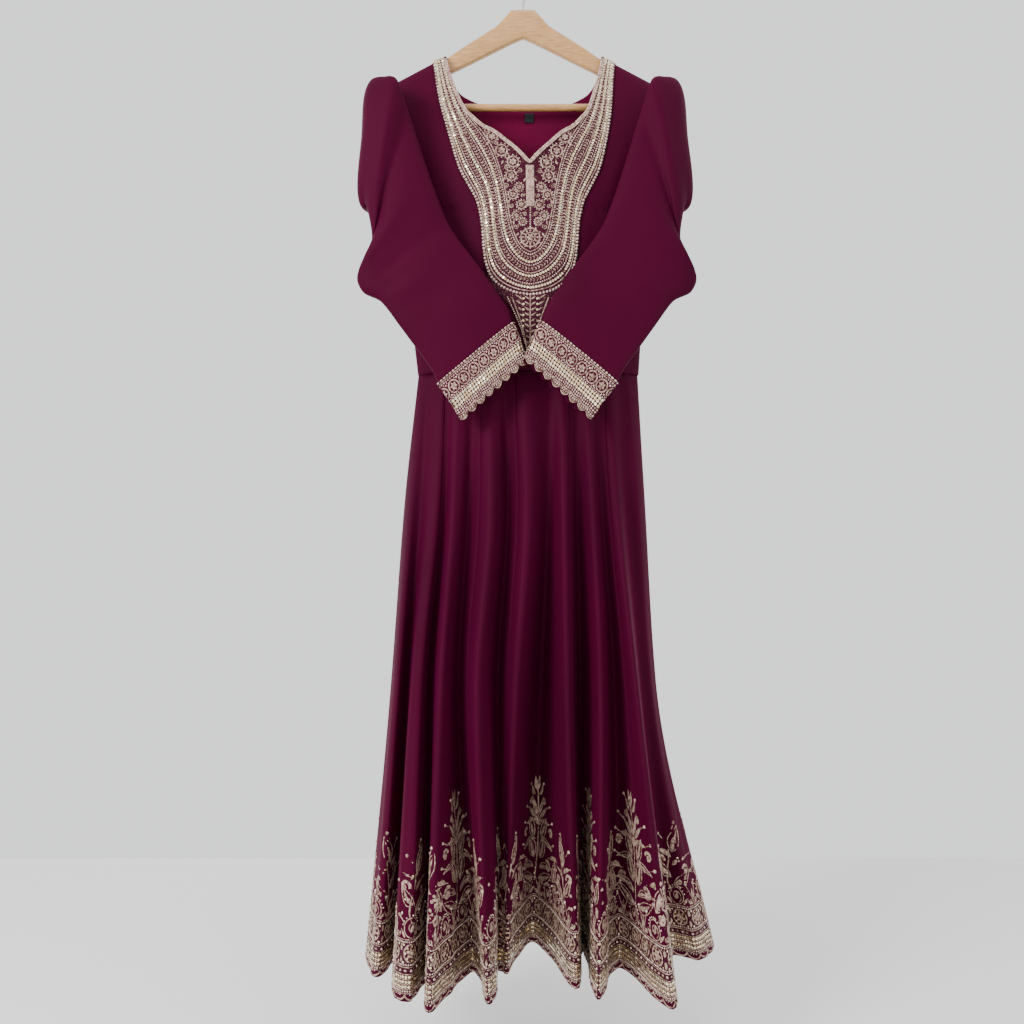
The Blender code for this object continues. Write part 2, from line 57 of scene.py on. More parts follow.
camera_lens = bpy.data.cameras.new("camera")
camera_lens.angle = math.radians(CAMERA_ANGLE)
camera = bpy.data.objects.new("camera", camera_lens)
camera.location = CAMERA_PLACE
camera.rotation_euler = (math.radians(90), 0, 0)
into_scene(camera)
bpy.context.scene.camera = camera

# Floor and light
# A pale studio: a plain painted floor, a pale surround, one broad lamp at the upper left, and
# three weak ones that lift the shadows from the right, from above and from behind.
FLOOR_SIZE = 2.6
FLOOR_PLACE = (0, -0.55, -1.61)
FLOOR_COLOUR = (0.80, 0.80, 0.79, 1)
SURROUND = (0.88, 0.89, 0.90, 1)
SURROUND_STRENGTH = 1.5
# Lamps: name, place, width in metres and power in watts. All look at one point.
LAMPS = (
    ("lamp_left", (-1.7, -1.6, 0.2), 0.9, 60),
    ("lamp_right", (1.7, -1.6, -0.4), 1.4, 7),
    ("lamp_above", (0.2, -0.2, 1.3), 1.2, 8),
    ("lamp_behind", (-0.4, 1.9, -0.3), 1.8, 14),
)
LAMPS_LOOK_AT = (0, 0, -0.8)


def plain_finish(name, colour, roughness):
    """A finish of one colour, with its node tree and shader for what is added to it."""
    made = bpy.data.materials.new(name)
    made.use_nodes = True
    shader = made.node_tree.nodes["Principled BSDF"]
    shader.inputs["Base Color"].default_value = colour
    shader.inputs["Roughness"].default_value = roughness
    made.diffuse_color = colour
    return made, made.node_tree, shader


bpy.ops.object.select_all(action="DESELECT")
bpy.ops.mesh.primitive_plane_add(size=FLOOR_SIZE, location=FLOOR_PLACE)
floor = bpy.context.object
floor.name = "floor"
floor.data.materials.append(plain_finish("floor_paint", FLOOR_COLOUR, 0.8)[0])

for name, place, size, power in LAMPS:
    light = bpy.data.lights.new(name, "AREA")
    light.size = size
    light.energy = power
    lamp = bpy.data.objects.new(name, light)
    lamp.location = place
    towards = np.array(LAMPS_LOOK_AT) - np.array(place)
    flat = math.hypot(towards[0], towards[1])
    lamp.rotation_euler = (math.atan2(flat, -towards[2]), 0, math.atan2(-towards[0], towards[1]))
    into_scene(lamp)

world = bpy.data.worlds.new("surround")
world.use_nodes = True
world.node_tree.nodes["Background"].inputs["Color"].default_value = SURROUND
world.node_tree.nodes["Background"].inputs["Strength"].default_value = SURROUND_STRENGTH
bpy.context.scene.world = world

# Hanger arms and bar
# Two shaped arms of honey-coloured hardwood, sanded round and lacquered, with a turned bar
# glued between their ends to carry folded trousers.
MM = 0.001
WOOD_LIGHT = (0.54, 0.29, 0.10, 1)
WOOD_DARK = (0.36, 0.17, 0.055, 1)
WOOD_ROUNDING = 1.2 * MM


def banded_colour(tree, shader, driver, dark, light, low, high):
    """Colours a surface between two tones by a pattern."""
    ramp = tree.nodes.new("ShaderNodeValToRGB")
    ramp.color_ramp.elements[0].position = low
    ramp.color_ramp.elements[0].color = dark
    ramp.color_ramp.elements[1].position = high
    ramp.color_ramp.elements[1].color = light
    tree.links.new(driver, ramp.inputs["Fac"])
    tree.links.new(ramp.outputs["Color"], shader.inputs["Base Color"])


def noise_on(tree, coordinates, stretch, scale, detail):
    """A noise pattern on Object or UV coordinates, stretched to follow a grain or a thread."""
    where = tree.nodes.new("ShaderNodeTexCoord")
    turned = tree.nodes.new("ShaderNodeMapping")
    turned.inputs["Scale"].default_value = stretch
    pattern = tree.nodes.new("ShaderNodeTexNoise")
    pattern.inputs["Scale"].default_value = scale
    pattern.inputs["Detail"].default_value = detail
    tree.links.new(where.outputs[coordinates], turned.inputs["Vector"])
    tree.links.new(turned.outputs["Vector"], pattern.inputs["Vector"])
    return pattern.outputs["Fac"]


def raise_grain(tree, shader, pattern, strength, distance):
    """Lets a pattern stand in low relief."""
    bump = tree.nodes.new("ShaderNodeBump")
    bump.inputs["Strength"].default_value = strength
    bump.inputs["Distance"].default_value = distance
    tree.links.new(pattern, bump.inputs["Height"])
    tree.links.new(bump.outputs["Normal"], shader.inputs["Normal"])


def lacquered_wood():
    """Straight-grained hardwood under a thin clear lacquer."""
    made, tree, shader = plain_finish("lacquered_wood", WOOD_LIGHT, 0.4)
    grain = noise_on(tree, "Object", (6, 60, 60), 9, 6)
    banded_colour(tree, shader, grain, WOOD_DARK, WOOD_LIGHT, 0.3, 0.62)
    raise_grain(tree, shader, grain, 0.25, 0.4 * MM)
    shader.inputs["Coat Weight"].default_value = 0.35
    shader.inputs["Coat Roughness"].default_value = 0.2
    return made


def dress(piece, finish, slot, *nodes):
    """Gives a piece its finish, parents it to the root so that it moves with it, and hides the imported
    parts that it stands in for.
    """
    piece.data.materials.clear()
    piece.data.materials.append(finish)
    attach(piece, "root")
    if nodes:
        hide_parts(*nodes)


def pick(piece):
    """Makes a piece the one that the next operators work on."""
    bpy.ops.object.select_all(action="DESELECT")
    bpy.context.view_layer.objects.active = piece
    piece.select_set(True)


wood = lacquered_wood()
for node_name, piece_name in (("hanger_arms", "hanger_wood"), ("hanger_bar", "trouser_bar")):
    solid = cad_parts[node_name]
    piece = bpy.data.objects.new(piece_name, solid.data.copy())
    into_scene(piece)
    pick(piece)
    bpy.ops.object.mode_set(mode="EDIT")
    bpy.ops.mesh.select_all(action="SELECT")
    bpy.ops.mesh.remove_doubles(threshold=0.02 * MM)
    bpy.ops.mesh.tris_convert_to_quads()
    bpy.ops.object.mode_set(mode="OBJECT")
    rounding = piece.modifiers.new("rounding", "BEVEL")
    rounding.width = WOOD_ROUNDING
    rounding.segments = 3
    rounding.limit_method = "ANGLE"
    rounding.angle_limit = math.radians(32)
    bpy.ops.object.modifier_apply(modifier="rounding")
    bpy.ops.object.shade_smooth_by_angle(angle=math.radians(40))
    dress(piece, wood, "honey_wood", node_name)

# Hook
# One length of bright steel wire, with a thread cut on its lower end that is screwed into the
# top of the wood, and its upper end bent round a former.

# Half the wire's width, the bend's radius, the stem's line (across, height, in mm), and the
# degrees of the bend.
HOOK_WIRE = 1.8 * MM
HOOK_RADIUS = 20 * MM
HOOK_STEM = ((0, -61.7), (0, -54), (0.4, -49), (3, -43.5), (7.5, -38.5))
HOOK_BEND = range(-48, 205, 6)

bright_steel, steel_tree, steel_shader = plain_finish("bright_steel", (0.62, 0.62, 0.63, 1), 0.28)
steel_shader.inputs["Metallic"].default_value = 1.0
raise_grain(steel_tree, steel_shader, noise_on(steel_tree, "Object", (1, 1, 9), 700, 2), 0.1, 0.05 * MM)
wire = bpy.data.curves.new("hook_wire", "CURVE")
wire.dimensions = "3D"
wire.bevel_depth = HOOK_WIRE
wire.bevel_resolution = 6
wire.use_fill_caps = True
route = [(across * MM, height * MM) for across, height in HOOK_STEM]
for degrees in HOOK_BEND:
    turn = math.radians(degrees)
    height = HOOK_WIRE - HOOK_RADIUS + HOOK_RADIUS * math.sin(turn)
    route.append((HOOK_RADIUS * math.cos(turn), height))
line = wire.splines.new("POLY")
line.points.add(len(route) - 1)
for point, (across, height) in zip(line.points, route):
    point.co = (across, 0, height, 1)
hook = bpy.data.objects.new("hook_wire", wire)
into_scene(hook)
pick(hook)
bpy.ops.object.convert(target="MESH")
hook = bpy.context.object
bpy.ops.object.shade_smooth_by_angle(angle=math.radians(50))
dress(hook, bright_steel, "hook_steel", "hanger_hook")

# Bodice
# Front and back of wine georgette over a matching lining, cut apart and sewn at the sides and
# the shoulders, hanging from the wood. The cloth is slack, so soft creases run down it.
CLOTH = 1.4 * MM
SEAM_GAP = 0.3 * MM
CLOTH_OVER_WOOD = 1.8 * MM
UNDERARM = -372 * MM
ARMHOLE_HALF_DEPTH = 28 * MM
# Tones of the cloth, outside and inside.
WINE_DEEP = (0.040, 0.0004, 0.0120, 1)
WINE_BRIGHT = (0.055, 0.0006, 0.0158, 1)
WINE_INSIDE_DEEP = (0.070, 0.0010, 0.020, 1)
WINE_INSIDE_BRIGHT = (0.115, 0.0024, 0.029, 1)
# The wood's upper edge from the middle outwards: across, height, in mm.
WOOD_TOP = ((0, -62), (18, -62.5), (39, -86), (91, -119), (116, -136), (190, -174.5), (205, -183.5))
# Height, half width, the middle between the side seams and the axis of the neck, in mm.
BODY = (
    (-60, 190, 0, 0),
    (-174, 190, 1, 2),
    (-273, 180, 2, 8),
    (-372, 184, 3, 10),
    (-498, 175, 5, 10),
    (-612, 165, 8, 9),
)
# Drop below the shoulder, then how far the front and the back stand from the hanger, in mm.
DEPTHS = (
    (0, 0.15, 0.15),
    (1, 5.4, 5.4),
    (3, 8.6, 8.6),
    (8, 10.6, 10.6),
    (30, 13, 12.6),
    (80, 21, 16),
    (150, 34, 22),
    (220, 45, 27),
    (300, 52, 32),
    (450, 56, 35),
    (620, 56, 35),
)
# Half width of the neck opening by height, in front and behind, in mm.
NECK_FRONT = (
    (0, -306),
    (13, -291),
    (29, -276),
    (49, -258),
    (64, -249),
    (78, -235),
    (87, -225),
    (98, -200),
    (108, -170),
    (116, -136),
)
NECK_BACK = ((0, -204), (22, -203.6), (42, -202), (70, -195), (98, -180), (110, -160), (116, -136))
# Soft creases: from (across, height) to (across, height), half width, how far they stand, in mm.
FRONT_CREASES = (
    (-150, -230, -96, -470, 9, 2.2),
    (152, -240, 104, -500, 10, 2.4),
    (-128, -330, -110, -600, 8, 2.0),
    (132, -350, 118, -604, 9, 2.2),
    (-60, -500, -66, -606, 7, 1.6),
    (66, -490, 70, -606, 8, 1.8),
    (8, -520, 6, -608, 7, 1.2),
)
BACK_CREASES = (
    (-120, -190, -150, -420, 14, 2.6),
    (118, -196, 146, -430, 13, 2.4),
    (-40, -240, -58, -600, 12, 2.4),
    (52, -260, 44, -604, 13, 2.2),
    (-112, -430, -100, -606, 9, 2.2),
    (110, -450, 104, -606, 9, 2.0),
    (4, -330, -6, -606, 10, 1.8),
    (-150, -380, 20, -470, 15, -1.6),
)


def curve_through(places, values, at):
    """Values on the smooth curve through the given points that never overshoots them."""
    places = np.asarray(places, float)
    values = np.asarray(values, float)
    if places[0] > places[-1]:
        places, values = places[::-1], values[::-1]
    widths = np.diff(places)
    slopes = np.diff(values) / widths
    bends = np.zeros(len(places))
    bends[0], bends[-1] = slopes[0], slopes[-1]
    for i in range(1, len(places) - 1):
        if slopes[i - 1] * slopes[i] > 0:
            first = 2 * widths[i] + widths[i - 1]
            second = widths[i] + 2 * widths[i - 1]
            bends[i] = (first + second) / (first / slopes[i - 1] + second / slopes[i])
    at = np.clip(np.asarray(at, float), places[0], places[-1])
    i = np.clip(np.searchsorted(places, at) - 1, 0, len(widths) - 1)
    t = (at - places[i]) / widths[i]
    return (
        (1 + 2 * t) * (1 - t) ** 2 * values[i]
        + t * (1 - t) ** 2 * widths[i] * bends[i]
        + t * t * (3 - 2 * t) * values[i + 1]
        + t * t * (t - 1) * widths[i] * bends[i + 1]
    )


def look_up(rows, key, value, at):
    """Looks a length in metres up in a table in mm."""
    places = [row[key] for row in rows]
    return curve_through(places, [row[value] for row in rows], np.asarray(at) / MM) * MM


def shoulder_line(across):
    """Height of the cloth's inner side where it lies over the wood."""
    places = [row[0] * MM for row in WOOD_TOP]
    heights = [row[1] * MM for row in WOOD_TOP]
    return np.interp(np.abs(across), places, heights) + CLOTH_OVER_WOOD


def half_width(height):
    """Half the bodice's width."""
    return look_up(BODY, 0, 1, height)


def middle(height):
    """Where the middle between the side seams lies."""
    return look_up(BODY, 0, 2, height)


def axis(height):
    """Where the axis of the neck, the yoke and the front lies."""
    return look_up(BODY, 0, 3, height)


ARMHOLE_TOP = float(shoulder_line(190 * MM))
ARMHOLE_MIDDLE = (ARMHOLE_TOP + UNDERARM) / 2
ARMHOLE_HALF_HEIGHT = (ARMHOLE_TOP - UNDERARM) / 2
NECK_CORNER_HEIGHT = float(shoulder_line(116 * MM))


def body_depth(across, height, side):
    """How far the inner side of the bodice stands from the hanger's plane: side 1 front, 2 back."""
    part = np.minimum(1.0, np.abs(across - middle(height)) / half_width(height))
    drop = np.maximum(0.0, shoulder_line(across) - height)
    depth = look_up(DEPTHS, 0, side, drop)
    upper = np.maximum(0.0, 1 - drop / ARMHOLE_HALF_HEIGHT)
    lower = (ARMHOLE_MIDDLE - height) / ARMHOLE_HALF_HEIGHT
    up_arm = np.where(height > ARMHOLE_MIDDLE, upper, lower)
    edge = ARMHOLE_HALF_DEPTH * np.sqrt(np.maximum(0.0, 1 - up_arm**2))
    return np.maximum(edge + (depth - edge) * (1 - part**2.6) ** 0.8, SEAM_GAP / 2)


def crease_height(creases, across, height):
    """How far the creases lift the cloth: each is a soft ridge that fades at its ends."""
    lift = np.zeros(np.shape(across))
    for x0, z0, x1, z1, width, tall in creases:
        start = np.array((x0, z0)) * MM
        way = np.array((x1, z1)) * MM - start
        length = np.linalg.norm(way)
        way /= length
        along = ((across - start[0]) * way[0] + (height - start[1]) * way[1]) / length
        wander = 0.25 * width * MM * np.sin(along * 7 + x0)
        aside = (across - start[0]) * way[1] - (height - start[1]) * way[0] + wander
        fade = np.clip(along * 3, 0, 1) * np.clip((1.06 - along) * 5, 0, 1)
        lift += tall * MM * fade**1.5 * np.exp(-((aside / (width * MM)) ** 2))
    return lift


def body_surface(across, height, side, lift):
    """Points on the bodice's inner side moved out along its normal by a lift."""
    step = 0.5 * MM
    across, height = np.broadcast_arrays(np.asarray(across, float), np.asarray(height, float))
    creases = FRONT_CREASES if side == 1 else BACK_CREASES
    room = np.clip((shoulder_line(across) - height) / (60 * MM), 0, 1)
    room = room * np.clip((half_width(height) - np.abs(across - middle(height))) / (20 * MM), 0, 1)
    total = lift + room * crease_height(creases, across, height)
    out = -1.0 if side == 1 else 1.0
    depth = body_depth(across, height, side)
    slope_x = body_depth(across + step, height, side) - body_depth(across - step, height, side)
    slope_z = body_depth(across, height + step, side) - body_depth(across, height - step, side)
    normal = np.stack([-slope_x / (2 * step), np.full(depth.shape, 1.0), -slope_z / (2 * step)], -1)
    normal[..., 0] = np.clip(normal[..., 0], -1.5, 1.5)
    normal[..., 2] = np.clip(normal[..., 2], -1.5, 1.5)
    normal /= np.linalg.norm(normal, axis=-1, keepdims=True)
    place = np.stack([across, depth, height], -1) + normal * total[..., None]
    place[..., 1] *= out
    return place


def strip_grid(columns, drops, levels, neck, outer):
    """Across and height of a left and a right strip, which meet below the neck's lowest point."""
    rows = np.array(list(drops) + [NECK_CORNER_HEIGHT - level for level in levels])
    deepest = NECK_CORNER_HEIGHT - neck[0][1] * MM
    slant = np.maximum(0.0, 1 - rows / deepest)[:, None]
    part = np.concatenate([columns[::-1], columns])[None, :]
    side = np.concatenate([-np.ones(len(columns)), np.ones(len(columns))])[None, :]
    height = np.repeat((NECK_CORNER_HEIGHT - rows)[:, None], part.shape[1], axis=1)
    for _ in range(14):
        inner = np.where(slant > 0, look_up(neck, 1, 0, height), 0.0)
        across = inner + (outer(height) - inner) * part
        height = NECK_CORNER_HEIGHT - rows[:, None]
        height = height + slant * (shoulder_line(across) - NECK_CORNER_HEIGHT)
    return across, height, side, part


def ease(count, power=1.0):
    """Shares from 0 to 1, closer together at the start if the power is over one."""
    return np.linspace(0, 1, count) ** power


def cloth(name, points, spread, thickness, towards, around=False, slit=None):
    """A sheet through rows of points, with a map in metres that its weave follows, and a thickness."""
    rows, columns = points.shape[:2]
    mesh = bmesh.new()
    weave = mesh.loops.layers.uv.new("weave")
    grid = [[mesh.verts.new(point) for point in row] for row in points]
    for r in range(rows - 1):
        for c in range(columns if around else columns - 1):
            d = (c + 1) % columns
            if d == slit:
                continue
            corners = (grid[r][c], grid[r + 1][c], grid[r + 1][d], grid[r][d])
            face = mesh.faces.new(corners)
            places = ((r, c), (r + 1, c), (r + 1, c + 1), (r, c + 1))
            for loop, (i, j) in zip(face.loops, places):
                loop[weave].uv = spread[i, j]
    if slit:
        bmesh.ops.remove_doubles(mesh, verts=mesh.verts, dist=0.02 * MM)
    data = bpy.data.meshes.new(name)
    mesh.to_mesh(data)
    mesh.free()
    data.shade_smooth()
    piece = bpy.data.objects.new(name, data)
    into_scene(piece)
    wall = piece.modifiers.new("wall", "SOLIDIFY")
    wall.thickness = thickness
    wall.offset = towards
    return piece


def georgette(name, deep, bright):
    """Fine crinkled crepe with a faint pink bloom, a little darker in places."""
    made, tree, shader = plain_finish(name, bright, 0.62)
    banded_colour(tree, shader, noise_on(tree, "Object", (1, 1, 0.35), 7, 3), deep, bright, 0.35, 0.7)
    crinkle = noise_on(tree, "UV", (1, 0.6, 1), 1500, 3)
    raise_grain(tree, shader, crinkle, 0.35, 0.25 * MM)
    shader.inputs["Sheen Weight"].default_value = 0.07
    shader.inputs["Sheen Roughness"].default_value = 0.4
    shader.inputs["Sheen Tint"].default_value = (0.9, 0.02, 0.3, 1)
    shader.inputs["Specular IOR Level"].default_value = 0.04
    return made


wine_georgette = georgette("wine_georgette", WINE_DEEP, WINE_BRIGHT)
wine_lining = georgette("wine_lining", WINE_INSIDE_DEEP, WINE_INSIDE_BRIGHT)
# Columns from the neck to the side, and rows down from the shoulder, closer near the edges.
FINE_COLUMNS = 1 - ease(30)[::-1] ** 1.5
CLOSE_DROPS = (0, 0.3, 0.6, 1, 1.6, 2.3, 3, 4.5, 6, 8)
FINE_DROPS = np.concatenate([CLOSE_DROPS, np.arange(12, 170, 4)]) * MM


def line_with(piece, finish):
    """Gives the sheet's inner side a finish of its own."""
    piece.data.materials.append(finish)
    piece.modifiers["wall"].material_offset = 1


def bodice_panel(name, side, neck, levels):
    """The front or back of the bodice, from its shoulders round the neck down to the waist."""
    below = NECK_CORNER_HEIGHT - neck[0][1] * MM
    drops = FINE_DROPS[FINE_DROPS < below - 3 * MM]
    drops = np.concatenate([drops, below - np.array((2, 1.1, 0.5, 0.15)) * MM])
    across, height, hand, part = strip_grid(FINE_COLUMNS, drops, levels, neck, half_width)
    shoulder = shoulder_line(across)
    across = axis(height) * (1 - part) + middle(height) * part + hand * across
    fade = np.clip(1 - (shoulder - height) / (60 * MM), 0, 1)
    height = height + fade * (shoulder_line(across) - shoulder)
    points = body_surface(across, height, side, 0.0)
    if side == 2:
        points = points[:, ::-1]
        across = across[:, ::-1]
        height = height[:, ::-1]
    return cloth(name, points, np.stack([across, height], -1), CLOTH, 1, slit=len(FINE_COLUMNS))


front_levels = np.concatenate([[NECK_FRONT[0][1] * MM], np.arange(-311, -611, -4) * MM, [-0.612]])
back_levels = np.concatenate([[NECK_BACK[0][1] * MM], np.arange(-208, -611, -4) * MM, [-0.612]])
bodice_front = bodice_panel("bodice_front_panel", 1, NECK_FRONT, front_levels)
bodice_back = bodice_panel("bodice_back_panel", 2, NECK_BACK, back_levels)
dress(bodice_front, wine_georgette, "wine_georgette", "bodice_front")
dress(bodice_back, wine_georgette, "wine_georgette_back", "bodice_back")
line_with(bodice_front, wine_lining)
line_with(bodice_back, wine_lining)

# Embroidered yoke
# A shaped panel of the same georgette, worked all over in gold thread, beads and sequins on a
# frame, then laid on the bodice's front and sewn round its edge.
LAID_GAP = 0.9 * MM
EMBROIDERED = 1.0 * MM
YOKE_LIFT = CLOTH + LAID_GAP
# Half width of the yoke by height, down to the point of its tail, in mm.
YOKE = (
    (-136, 137),
    (-212, 129),
    (-265, 118),
    (-316, 104),
    (-340, 92),
    (-367, 79),
    (-396, 73),
    (-444, 69),
    (-469, 65),
    (-491, 57),
    (-510, 40),
    (-529, 24),
    (-570, 9),
    (-590, 4),
)


def yoke_half_width(height):
    """Half the yoke's width."""
    return look_up(YOKE, 0, 1, height)


def yoke_ground():
    """The yoke's cloth, with its straps beside the neck and its tail."""
    columns = ease(14)
    drops = FINE_DROPS[(FINE_DROPS >= 3 * MM) & (FINE_DROPS < 160 * MM)]
    levels = np.concatenate([[-0.306], np.arange(-311, -588, -4) * MM, [-0.59]])
    across, height, hand, part = strip_grid(columns, drops, levels, NECK_FRONT, yoke_half_width)
    across = axis(height) + hand * across
    points = body_surface(across, height, 1, YOKE_LIFT)
    spread = np.stack([across, height], -1)
    return cloth("yoke_ground", points, spread, EMBROIDERED, 1, slit=len(columns))


THREAD_DARK = (0.13, 0.070, 0.050, 1)
THREAD_LIGHT = (0.50, 0.36, 0.28, 1)


def worked_georgette(name, cell):
    """Georgette filled with a close net of thread, with a small knot in every mesh of it."""
    made, tree, shader = plain_finish(name, THREAD_DARK, 0.55)
    where = tree.nodes.new("ShaderNodeTexCoord")
    net = tree.nodes.new("ShaderNodeTexVoronoi")
    net.inputs["Scale"].default_value = 1 / cell
    net.inputs["Randomness"].default_value = 0.55
    tree.links.new(where.outputs["UV"], net.inputs["Vector"])
    ramp = tree.nodes.new("ShaderNodeValToRGB")
    stops = ramp.color_ramp.elements
    shader.inputs["Specular IOR Level"].default_value = 0.12
    stops[0].position, stops[0].color = 0.08, THREAD_LIGHT
    stops[1].position, stops[1].color = 0.76, THREAD_DARK
    for position in (0.12, 0.68):
        stops.new(position).color = WINE_DEEP
    tree.links.new(net.outputs["Distance"], ramp.inputs["Fac"])
    tree.links.new(ramp.outputs["Color"], shader.inputs["Base Color"])
    raise_grain(tree, shader, ramp.outputs["Color"], 0.6, 0.5 * MM)
    return made


worked_net = worked_georgette("worked_net", 4.4 * MM)
yoke = yoke_ground()
dress(yoke, worked_net, "gold_embroidery", "yoke_panel")


def away(x, y, reach, turn):
    """The point at some reach from another, in the direction of a turn."""
    return x + reach * math.cos(turn), y + reach * math.sin(turn)


def round_line(x, y, radius, sides):
    """Corners of a regular outline about a point, and the turn of each."""
    turns = np.arange(sides) * 2 * math.pi / sides
    return np.stack([x + radius * np.cos(turns), y + radius * np.sin(turns)], 1), turns


def turned_by(angle):
    """Turns a motif that was drawn to the right."""
    return np.array(((math.cos(angle), math.sin(angle)), (-math.sin(angle), math.cos(angle))))


class Stitches:
    """Raised stitches, beads and sequins, drawn flat in metres and then laid on the cloth."""

    def __init__(self):
        self.places = []
        self.lifts = []
        self.faces = []
        self.count = 0

    def add(self, places, lifts, faces):
        """Adds one motif: its flat places, how far each is lifted, and its faces."""
        self.places.append(np.asarray(places, float))
        self.lifts.append(np.asarray(lifts, float))
        self.faces.extend([tuple(corner + self.count for corner in face) for face in faces])
        self.count += len(places)

    def dome(self, x, y, radius, tall, sides=6):
        """A bead, a pearl or a knot."""
        ring, turns = round_line(x, y, radius, sides)
        places = np.vstack([ring, ring * 0.3 + np.array((x, y)) * 0.7])
        lifts = [-0.1 * MM] * sides + [tall] * sides
        faces = [(i, (i + 1) % sides, sides + (i + 1) % sides, sides + i) for i in range(sides)]
        faces.append(tuple(range(sides, 2 * sides)))
        self.add(places, lifts, faces)

    def sequin(self, x, y, radius, tilt, lean, sides=7):
        """A cupped sequin that tilts to one side."""
        ring, turns = round_line(x, y, radius, sides)
        places = np.vstack([ring, [(x, y)]])
        lifts = 0.55 * MM + radius * tilt * np.cos(turns - lean)
        lifts = list(lifts) + [0.3 * MM]
        self.add(places, lifts, [(i, (i + 1) % sides, sides) for i in range(sides)])

    def leaf(self, x, y, angle, length, width, tall=0.9 * MM, curl=0.0):
        """A pointed satin-stitch leaf from its stem end, curling to one side."""
        along = np.array((0.0, 0.18, 0.42, 0.68, 0.88, 1.0))
        wide = np.array((0.06, 0.72, 1.0, 0.72, 0.34, 0.03)) * width / 2
        heights = np.array((0.3, 0.8, 1.0, 0.85, 0.5, 0.1)) * tall
        bend = curl * length * along**2
        places, lifts = [], []
        for t, w, h, b in zip(along * length, wide, heights, bend):
            places += [(t, b - w), (t, b), (t, b + w)]
            lifts += [-0.1 * MM, h, -0.1 * MM]
        places = np.array(places)
        faces = []
        for i in range(len(along) - 1):
            for j in (0, 1):
                a = 3 * i + j
                faces.append((a, a + 3, a + 4, a + 1))
        self.add(places @ turned_by(angle) + np.array((x, y)), lifts, faces)

    def open_leaf(self, x, y, angle, length, width, curl=0.0):
        """A leaf drawn round in cord, with a smaller satin leaf inside it."""
        along = np.array((0.0, 0.12, 0.3, 0.5, 0.7, 0.87, 1.0))
        wide = np.array((0.0, 0.5, 0.92, 1.0, 0.76, 0.36, 0.0)) * width / 2
        bend = curl * length * along**2
        edge = np.stack([along * length, bend + wide], 1)
        back = np.stack([along * length, bend - wide], 1)[-2:0:-1]
        outline = np.vstack([edge, back]) @ turned_by(angle) + np.array((x, y))
        self.cord(outline, 1.7 * MM, 0.8 * MM, closed=True)
        self.leaf(x, y, angle, length * 0.86, width * 0.5, 1.1 * MM, curl)

    def cord(self, line, width, tall=0.7 * MM, closed=False):
        """A couched cord or a run of chain stitch along a line."""
        line = np.asarray(line, float)
        if closed:
            ways = np.roll(line, -1, axis=0) - np.roll(line, 1, axis=0)
        else:
            ways = np.gradient(line, axis=0)
        ways /= np.maximum(np.linalg.norm(ways, axis=1, keepdims=True), 1e-9)
        aside = np.stack([ways[:, 1], -ways[:, 0]], 1) * width / 2
        places = np.stack([line + aside, line, line - aside], 1).reshape(-1, 2)
        lifts = np.tile((-0.1 * MM, tall, -0.1 * MM), len(line))
        faces = []
        for i in range(len(line) if closed else len(line) - 1):
            k = (i + 1) % len(line)
            for j in (0, 1):
                faces.append((3 * i + j, 3 * i + j + 1, 3 * k + j + 1, 3 * k + j))
        self.add(places, lifts, faces)

    def ring(self, x, y, radius, width, sides=14, tall=0.7 * MM):
        """A round of cord."""
        line, turns = round_line(x, y, radius, sides)
        self.cord(line, width, tall, closed=True)

    def flower(self, x, y, radius, petals=6, turn=0.0):
        """A flower of satin-stitch petals round a knot."""
        for i in range(petals):
            angle = turn + i * 2 * math.pi / petals
            place = away(x, y, 0.2 * radius, angle)
            self.leaf(*place, angle, radius * 0.8, radius * 0.62, 1.0 * MM)
        self.dome(x, y, radius * 0.24, 1.3 * MM)

    def piece(self, name, lay, finish, slot):
        """Lays all of it on the cloth by the given rule and makes it one piece."""
        places = np.concatenate(self.places)
        lifts = np.concatenate(self.lifts)
        points = lay(places[:, 0], places[:, 1], lifts)
        data = bpy.data.meshes.new(name)
        data.from_pydata(points.tolist(), [], self.faces)
        data.shade_smooth()
        made = bpy.data.objects.new(name, data)
        into_scene(made)
        dress(made, finish, slot)
        return made


def lengths_along(line):
    """How far along the line each of its points lies."""
    return np.concatenate([[0], np.cumsum(np.linalg.norm(np.diff(line, axis=0), axis=1))])


def even_walk(line, pitch):
    """Points at an even pitch along a line, with the way the line runs there."""
    line = np.asarray(line, float)
    lengths = lengths_along(line)
    count = max(2, int(round(lengths[-1] / pitch)) + 1)
    stops = np.linspace(0, lengths[-1], count)
    spots = np.stack([np.interp(stops, lengths, column) for column in line.T], 1)
    ways = np.gradient(spots, axis=0)
    ways /= np.linalg.norm(ways, axis=1, keepdims=True)
    return spots, ways


def gold_thread(name, dark, light, roughness, metal):
    """Thread, or what is spun or glazed like it: two tones and fine slanting plies."""
    made, tree, shader = plain_finish(name, light, roughness)
    tone = noise_on(tree, "Object", (1, 1, 1), 260, 3)
    banded_colour(tree, shader, tone, dark, light, 0.36, 0.6)
    shader.inputs["Specular IOR Level"].default_value = 0.3
    plies = noise_on(tree, "Object", (1, 1, 3.5), 1900, 1)
    raise_grain(tree, shader, plies, 0.6, 0.3 * MM)
    shader.inputs["Metallic"].default_value = metal
    return made


def spangle_gold_painted_glint():
    """Cupped sequins of gilt plastic, with painted glints: some are coloured far lighter, as if catching the
    light.
    """
    made, tree, shader = plain_finish("spangle_gold_painted_glint", (0.9, 0.72, 0.42, 1), 0.22)
    # Painted glint: this noise paints some sequins near white gold, standing in for light that they catch.
    tone = noise_on(tree, "Object", (1, 1, 1), 330, 1)
    banded_colour(tree, shader, tone, (0.62, 0.44, 0.22, 1), (0.98, 0.86, 0.62, 1), 0.38, 0.6)
    shader.inputs["Metallic"].default_value = 0.75
    return made


